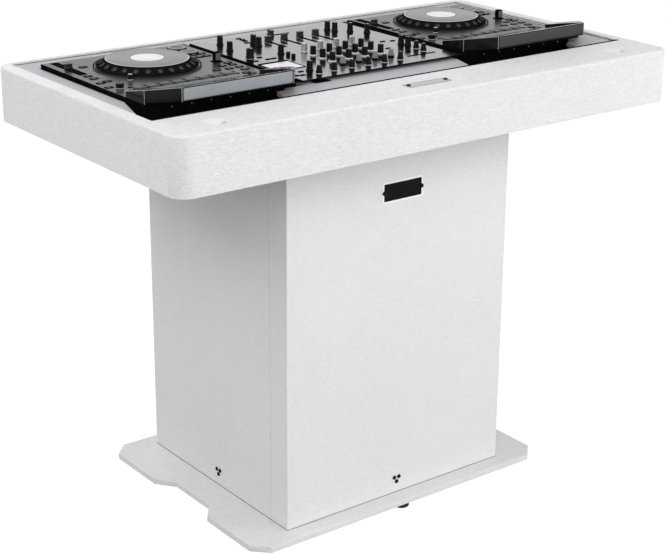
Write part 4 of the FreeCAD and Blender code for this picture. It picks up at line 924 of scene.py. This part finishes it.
dress(case_black, "mixer_chassis")
mixer_edge = box("mixer_top_panel")[1][1]
mixer_panel = finish("mixer_panel", BRUSHED, 0.27, 0.21, VIOLET, metal=1.0, Gloss=0.1, Matt=0.2,
                     Line_height=0.000002)
dress(mixer_panel, "mixer_top_panel")
# Black strips on the sides of the mixer panel: painted shade of the gaps beside the players.
MIXER_SHADE_STRIPS = (2.0, 9.0)
piece("mixer_panel_edge", panel_edge("mixer_top_panel", *MIXER_SHADE_STRIPS), [case_black])

# Mixer display: a pale lit panel behind a black moulded bezel, with a thick black bar along
# its side to the DJ. Both are stuck on the mixer's panel.

display_glass = finish("display_glass", GRAIN, (0.64, 0.62, 0.66), (0.54, 0.52, 0.57), glow=0.3, Gloss=0.08,
                       Matt=0.15, Patch_scale=60.0, Grain_height=0.0)
dress(display_glass, "mixer_display")
BEZEL = 2.5
BEZEL_LAP = 0.3
BAR_DEPTH = 5.0
BAR_EXTRA = 4.0
BAR_AWAY = 4.5
show_low, show_high = box("mixer_display")
show_width, show_depth = (show_high - show_low)[:2]
show_x, show_y = middle("mixer_display")
bezel = surround((show_width + 2 * BEZEL, show_depth + 2 * BEZEL, 2.0),
                 (show_width - 2 * BEZEL_LAP, show_depth - 2 * BEZEL_LAP, 0.8), 0.9)
bar = pad(show_width + BAR_EXTRA, BAR_DEPTH, [(0, 0), (0, 1.2), (0.4, 1.6), (1.2, 1.6)], 1.2)
piece("mixer_display_bezel", joined(moved(bezel, show_x, show_y, PLATE_TOP),
                                    moved(bar, show_x, show_high[1] + BAR_AWAY, PLATE_TOP)),
      [track_black])

# Mixer knobs: fluted black tone knobs with a white skirt and pointer, bright colour knobs, pale
# trim cones, and dark source cones in printed rings, all pressed on shafts. The side columns
# repeat the tall knobs and the dark cones, with two small plain ones.

CHANNELS = (-56.0, -15.0, 26.0, 67.0)
COLOUR_ROW = 203.0
TONE_ROWS = (234.0, 266.5, 299.0)
TRIM_ROW = 333.0
SOURCE_ROW = 363.0
SIDE_TALL = [(-157, 45), (-172, 104), (-94, 75), (-98, 101), (-102, 186), (-142, 339), (117, 51), (122, 71),
             (147, 93), (170, 123), (157, 255), (160, 274)]
SIDE_CONE = [(-139, 366), (-100, 363), (159, 302), (156, 329)]
SIDE_SMALL = [(-99, 207), (-101, 228)]
tall_profile = [(7.2, 0), (7.5, 0.3), (7.5, 2.2), (7.0, 2.9), (6.5, 3.1), (6.4, 4.2), (5.9, 18.4),
                (5.5, 19.5), (4.7, 20), (1, 20)]
tall_depth = (0, 0, 0, 0, 0, 0.07, 0.07, 0, 0, 0)
tone_profile = [(7.9, 0), (8.2, 0.3), (8.2, 1.9), (7.7, 2.3), (6.6, 2.4), (6.4, 3.6), (5.9, 18.4),
                (5.5, 19.5), (4.7, 20), (1, 20)]
tone_tints = (1, 1, 1, 1, 0, 0, 0, 0, 0)
cone_profile = [(6.7, 0), (7, 0.3), (7, 2.4), (6.6, 3.0), (6.2, 3.2), (4.4, 14.8), (4.0, 15.7), (3.3, 16),
                (1, 16)]
cone_depth = (0, 0, 0, 0, 0.06, 0.06, 0, 0, 0)
pale_tints = (0, 0, 0, 0, 3, 3, 3, 3)
small_profile = [(4.3, 0), (4.5, 0.3), (4.4, 6.8), (4.0, 7.7), (3.2, 8), (1, 8)]
POINTER_SUNK = 0.05
pointer = pad(1.1, 4.6, [(0, 0), (0, 0.1), (0.1, 0.15)], 0.4, 1)


def pointed_knob(profile, tints, depth, reach, around=64, flutes=16):
    """Fluted profile turned about Z, with a white pointer laid on its flat top."""
    top = profile[-1][1] - POINTER_SUNK
    return joined(lathe(profile, around, tints, flutes, depth), moved(pointer, 0, -reach, top))


def channel_row(row):
    """The places of one row on the four channels."""
    return [(x, row) for x in CHANNELS]


def on_mixer(form, places):
    """Copies of a form on the mixer panel at (x, distance from the DJ's edge) places."""
    return spread(form, [(x, mixer_edge - row, PLATE_TOP) for x, row in places])


knob_light = finish("knob_light", GRAIN, 0.24, 0.19, SLATE, Gloss=0.35, Matt=0.5)
knob_finishes = [knob_black, print_white, metal_knob, knob_light]
tone_places = [(x, row) for x in CHANNELS for row in TONE_ROWS]
tall_knob = pointed_knob(tall_profile, 0, tall_depth, 2.6)
tone_knob = pointed_knob(tone_profile, tone_tints, tall_depth, 2.6)
trim_knob = pointed_knob(cone_profile, pale_tints, cone_depth, 1.2)
source_knob = pointed_knob(cone_profile, 0, cone_depth, 1.2)
channel_knobs = joined(on_mixer(tone_knob, tone_places),
                       on_mixer(tinted(tall_knob, 2), channel_row(COLOUR_ROW)),
                       on_mixer(trim_knob, channel_row(TRIM_ROW)),
                       on_mixer(source_knob, channel_row(SOURCE_ROW)))
piece("mixer_channel_knobs_fluted", channel_knobs, knob_finishes,
      stands_for=["mixer_channel_knobs"])
side_knobs = joined(on_mixer(tall_knob, SIDE_TALL), on_mixer(source_knob, SIDE_CONE),
                    on_mixer(lathe(small_profile, 48), SIDE_SMALL))
piece("mixer_side_knobs_fluted", side_knobs, knob_finishes, stands_for=["mixer_side_knobs"])
dial_ring = hoop(7.2, 8.4, 0.5, 0.1)
dials = on_mixer(dial_ring, channel_row(SOURCE_ROW) + SIDE_CONE)
piece("mixer_dial_rings", dials, [print_white])

# Effect knob: the largest knob of the mixer, moulded black plastic with flutes, pressed on a
# steel shaft and turned by hand. A printed ring on the panel runs round it.

effect_profile = [(3, -11), (3, 0), (8.6, 0), (9, 0.4), (9, 2.6), (8.5, 3.4), (8.0, 3.6), (7.9, 4.6),
                  (7.3, 18.4), (6.8, 19.5), (6.0, 20), (1, 20)]
effect_depth = (0, 0, 0, 0, 0, 0, 0, 0.06, 0.06, 0, 0, 0)
effect_x, effect_y = middle("mixer_effect_knob")
effect_form = pointed_knob(effect_profile, 0, effect_depth, 4.0, 96, 24)
piece("mixer_effect_knob_fluted", moved(effect_form, effect_x, effect_y, PLATE_TOP + KNOB_GAP), knob_finishes,
      "mixer_effect_knob", ["mixer_effect_knob"])
piece("mixer_effect_ring", moved(hoop(9.6, 10.6, 0.15, 0.05), effect_x, effect_y, PLATE_TOP), [print_white])

# Mixer faders: dark waisted caps with a white line, four along the channels and one across
# them. Each slot has a thin black lip and a printed scale.

fader_finishes = [cap_grey, print_white, metal_knob, cap_grey]
FADER_RUN = 60.0
CROSS_RUN = 45.0
LIP_WIDE = 8.0
SLOT_WIDE = 5.2
SCALE_X = 10.0
SLOT_SPARE = 5.4
LIP_SPARE = 8.6
slot_lips = []
scales = []
for number in range(1, len(CHANNELS) + 1):
    fader = f"mixer_channel_fader_{number}"
    x, y = middle(fader)
    piece(fader + "_cap", moved(fader_cap(), x, y, PLATE_TOP + KNOB_GAP), fader_finishes, fader,
          [fader])
    lip = surround((LIP_WIDE, FADER_RUN + LIP_SPARE, 2.5), (SLOT_WIDE, FADER_RUN + SLOT_SPARE, 2.0), 0.3)
    slot_lips.append(moved(lip, x, y - FADER_RUN / 2, PLATE_TOP))
    scales += [moved(tick, x + side * SCALE_X, y - FADER_RUN * step / (TICKS - 1), PLATE_TOP)
               for step in range(TICKS) for side in (-1, 1)]
x, y = middle("mixer_crossfader")
piece("mixer_crossfader_cap", moved(turned(fader_cap(), "Z", 90), x, y, PLATE_TOP + KNOB_GAP), fader_finishes,
      "mixer_crossfader", ["mixer_crossfader"])
lip = surround((CROSS_RUN + LIP_SPARE, LIP_WIDE, 2.5), (CROSS_RUN + SLOT_SPARE, SLOT_WIDE, 2.0), 0.3)
slot_lips.append(moved(lip, x + CROSS_RUN / 2, y, PLATE_TOP))
piece("mixer_slot_lips", joined(*slot_lips), [track_black])
piece("mixer_fader_scales", joined(*scales), [print_white])

# Mixer keys: flat dark keys in the side columns, two long dark openings for memory sticks
# at the back and one lit bar. Places are (x, distance from the DJ's edge).

MIXER_KEYS = [(-92, 17), (-91, 30), (-93, 43), (-100, 60), (-158, 190), (-152, 212), (-138, 212),
              (-182, 213), (142, 212), (164, 218), (176, 230), (110, 270), (112, 244), (125, 318),
              (-162, 337), (-189, 360), (-176, 363)]
STICK_PORTS = [(112, 352), (151, 352)]
LIT_BAR = [(-157, 16)]
mixer_key = pad(12.0, 6.5, FLAT_KEY, 1.4)
port_floor = pad(30.2, 2.6, [(0, 0), (0, 0.05), (0.1, 0.1)], 1.0)
stick_port = joined(surround((34.0, 6.0, 2.0), (30.0, 2.4, 1.0), 0.5), port_floor)
lit_bar = turned(pad(20.0, 3.0, [(0, 0), (0, 0.3), (0.2, 0.5)], 1.2), "Z", -35)
piece("mixer_keys", joined(on_mixer(mixer_key, MIXER_KEYS), on_mixer(stick_port, STICK_PORTS)), [key_dark])
piece("mixer_lit_bar", on_mixer(lit_bar, LIT_BAR), [display_glass])

# Stage: a plain white floor and sky. Camera and mirror rays see them white; other rays see
# a dimmer sky and floor, so that the light on the booth comes from the lamps.


def white_to_eye(tree, plain, white, output):
    """Mixes two shaders into the output: camera, mirror and see-through rays get the white one."""
    ray = add(tree, "ShaderNodeLightPath").outputs
    first = worked(tree, "MAXIMUM", ray["Is Camera Ray"], ray["Is Glossy Ray"])
    share = worked(tree, "MAXIMUM", first, ray["Is Transmission Ray"])
    mix = add(tree, "ShaderNodeMixShader", {0: share, 1: plain.outputs[0], 2: white.outputs[0]})
    tree.links.new(mix.outputs[0], tree.nodes[output].inputs["Surface"])


FLOOR_REACH = 12.0
FLOOR_GLOW = 0.95
FLOOR_SHADE = (0.25, 0.25, 0.25, 1)
SKY_STRENGTH = 0.2
WHITE = (1, 1, 1, 1)
floor_material = bpy.data.materials.new("floor_white")
floor_material.use_nodes = True
floor_tree = floor_material.node_tree
floor_shader = floor_tree.nodes["Principled BSDF"]
floor_shader.inputs["Base Color"].default_value = MID_GREY
floor_shader.inputs["Roughness"].default_value = 0.9
floor_glow = add(floor_tree, "ShaderNodeEmission", {"Color": WHITE, "Strength": FLOOR_GLOW})
floor_shade = add(floor_tree, "ShaderNodeBsdfDiffuse", {"Color": FLOOR_SHADE})
floor_seen = add(floor_tree, "ShaderNodeAddShader", {0: floor_glow.outputs[0], 1: floor_shade.outputs[0]})
white_to_eye(floor_tree, floor_shader, floor_seen, "Material Output")
floor_mesh = bpy.data.meshes.new("floor")
floor_corners = [(x * FLOOR_REACH, y * FLOOR_REACH, 0) for x, y in ((-1, -1), (1, -1), (1, 1), (-1, 1))]
floor_mesh.from_pydata(floor_corners, [], [(0, 1, 2, 3)])
floor_mesh.materials.append(floor_material)
floor = bpy.data.objects.new("floor", floor_mesh)
scene.collection.objects.link(floor)

world = bpy.data.worlds.new("studio")
scene.world = world
world.use_nodes = True
sky = world.node_tree
sky_light = sky.nodes["Background"]
sky_light.inputs["Color"].default_value = WHITE
sky_light.inputs["Strength"].default_value = SKY_STRENGTH
sky_white = add(sky, "ShaderNodeBackground", {"Color": WHITE, "Strength": 1.0})
white_to_eye(sky, sky_light, sky_white, "World Output")

# Lamps: soft boxes on all sides and overhead, all large, for soft edges of shade.
# Polished surfaces mirror the white background and not the boxes.


def softbox(name, place, target, size, power):
    """Rectangular lamp at a place, turned to face its target."""
    light = bpy.data.lights.new(name, "AREA")
    light.shape = "RECTANGLE"
    light.size = size[0]
    light.size_y = size[1]
    light.energy = power
    lamp = bpy.data.objects.new(name, light)
    lamp.visible_glossy = False
    lamp.location = place
    lamp.rotation_euler = (Vector(target) - Vector(place)).to_track_quat("-Z", "Y").to_euler()
    scene.collection.objects.link(lamp)


softbox("front_box", (1.2, -4.0, 1.2), (0.0, -0.2, 0.6), (2.4, 2.0), 52)
softbox("right_box", (2.8, -2.4, 2.2), (0.0, -0.1, 0.4), (2.0, 2.0), 53)
softbox("left_box", (-3.2, 2.4, 2.4), (0.0, 0.0, 0.6), (2.0, 2.0), 24)
softbox("high_left_box", (-2.6, 0.4, 3.0), (-0.2, 0.0, 0.5), (1.6, 1.6), 29)
softbox("back_box", (0.8, 3.8, 1.8), (0.0, 0.2, 0.5), (2.4, 2.0), 45)
softbox("corner_box", (-2.6, -2.8, 2.4), (-0.4, -0.2, 0.7), (1.8, 1.8), 50)
softbox("top_box", (-0.3, 0.2, 3.4), (-0.2, 0.0, 0.8), (1.6, 1.6), 13)

# Camera: at the photograph's viewing angle and from its distance, with its small roll and its
# picture axis off the middle.

EYE = Vector((-2.0204, -2.6364, 1.6766))
AIM = Vector((0.004576, -0.067982, 0.5126))
ROLL = 0.75
camera = bpy.data.cameras.new("camera")
camera.sensor_width = 36.0
camera.lens = 89.71
camera.shift_x = -0.0444
camera.shift_y = -0.0282
camera.clip_end = 60.0
eye = bpy.data.objects.new("camera", camera)
look = (AIM - EYE).to_track_quat("-Z", "Y").to_matrix().to_4x4()
eye.matrix_world = Matrix.Translation(EYE) @ look @ Matrix.Rotation(math.radians(ROLL), 4, "Z")
scene.collection.objects.link(eye)
scene.camera = eye
scene.view_settings.view_transform = "Standard"
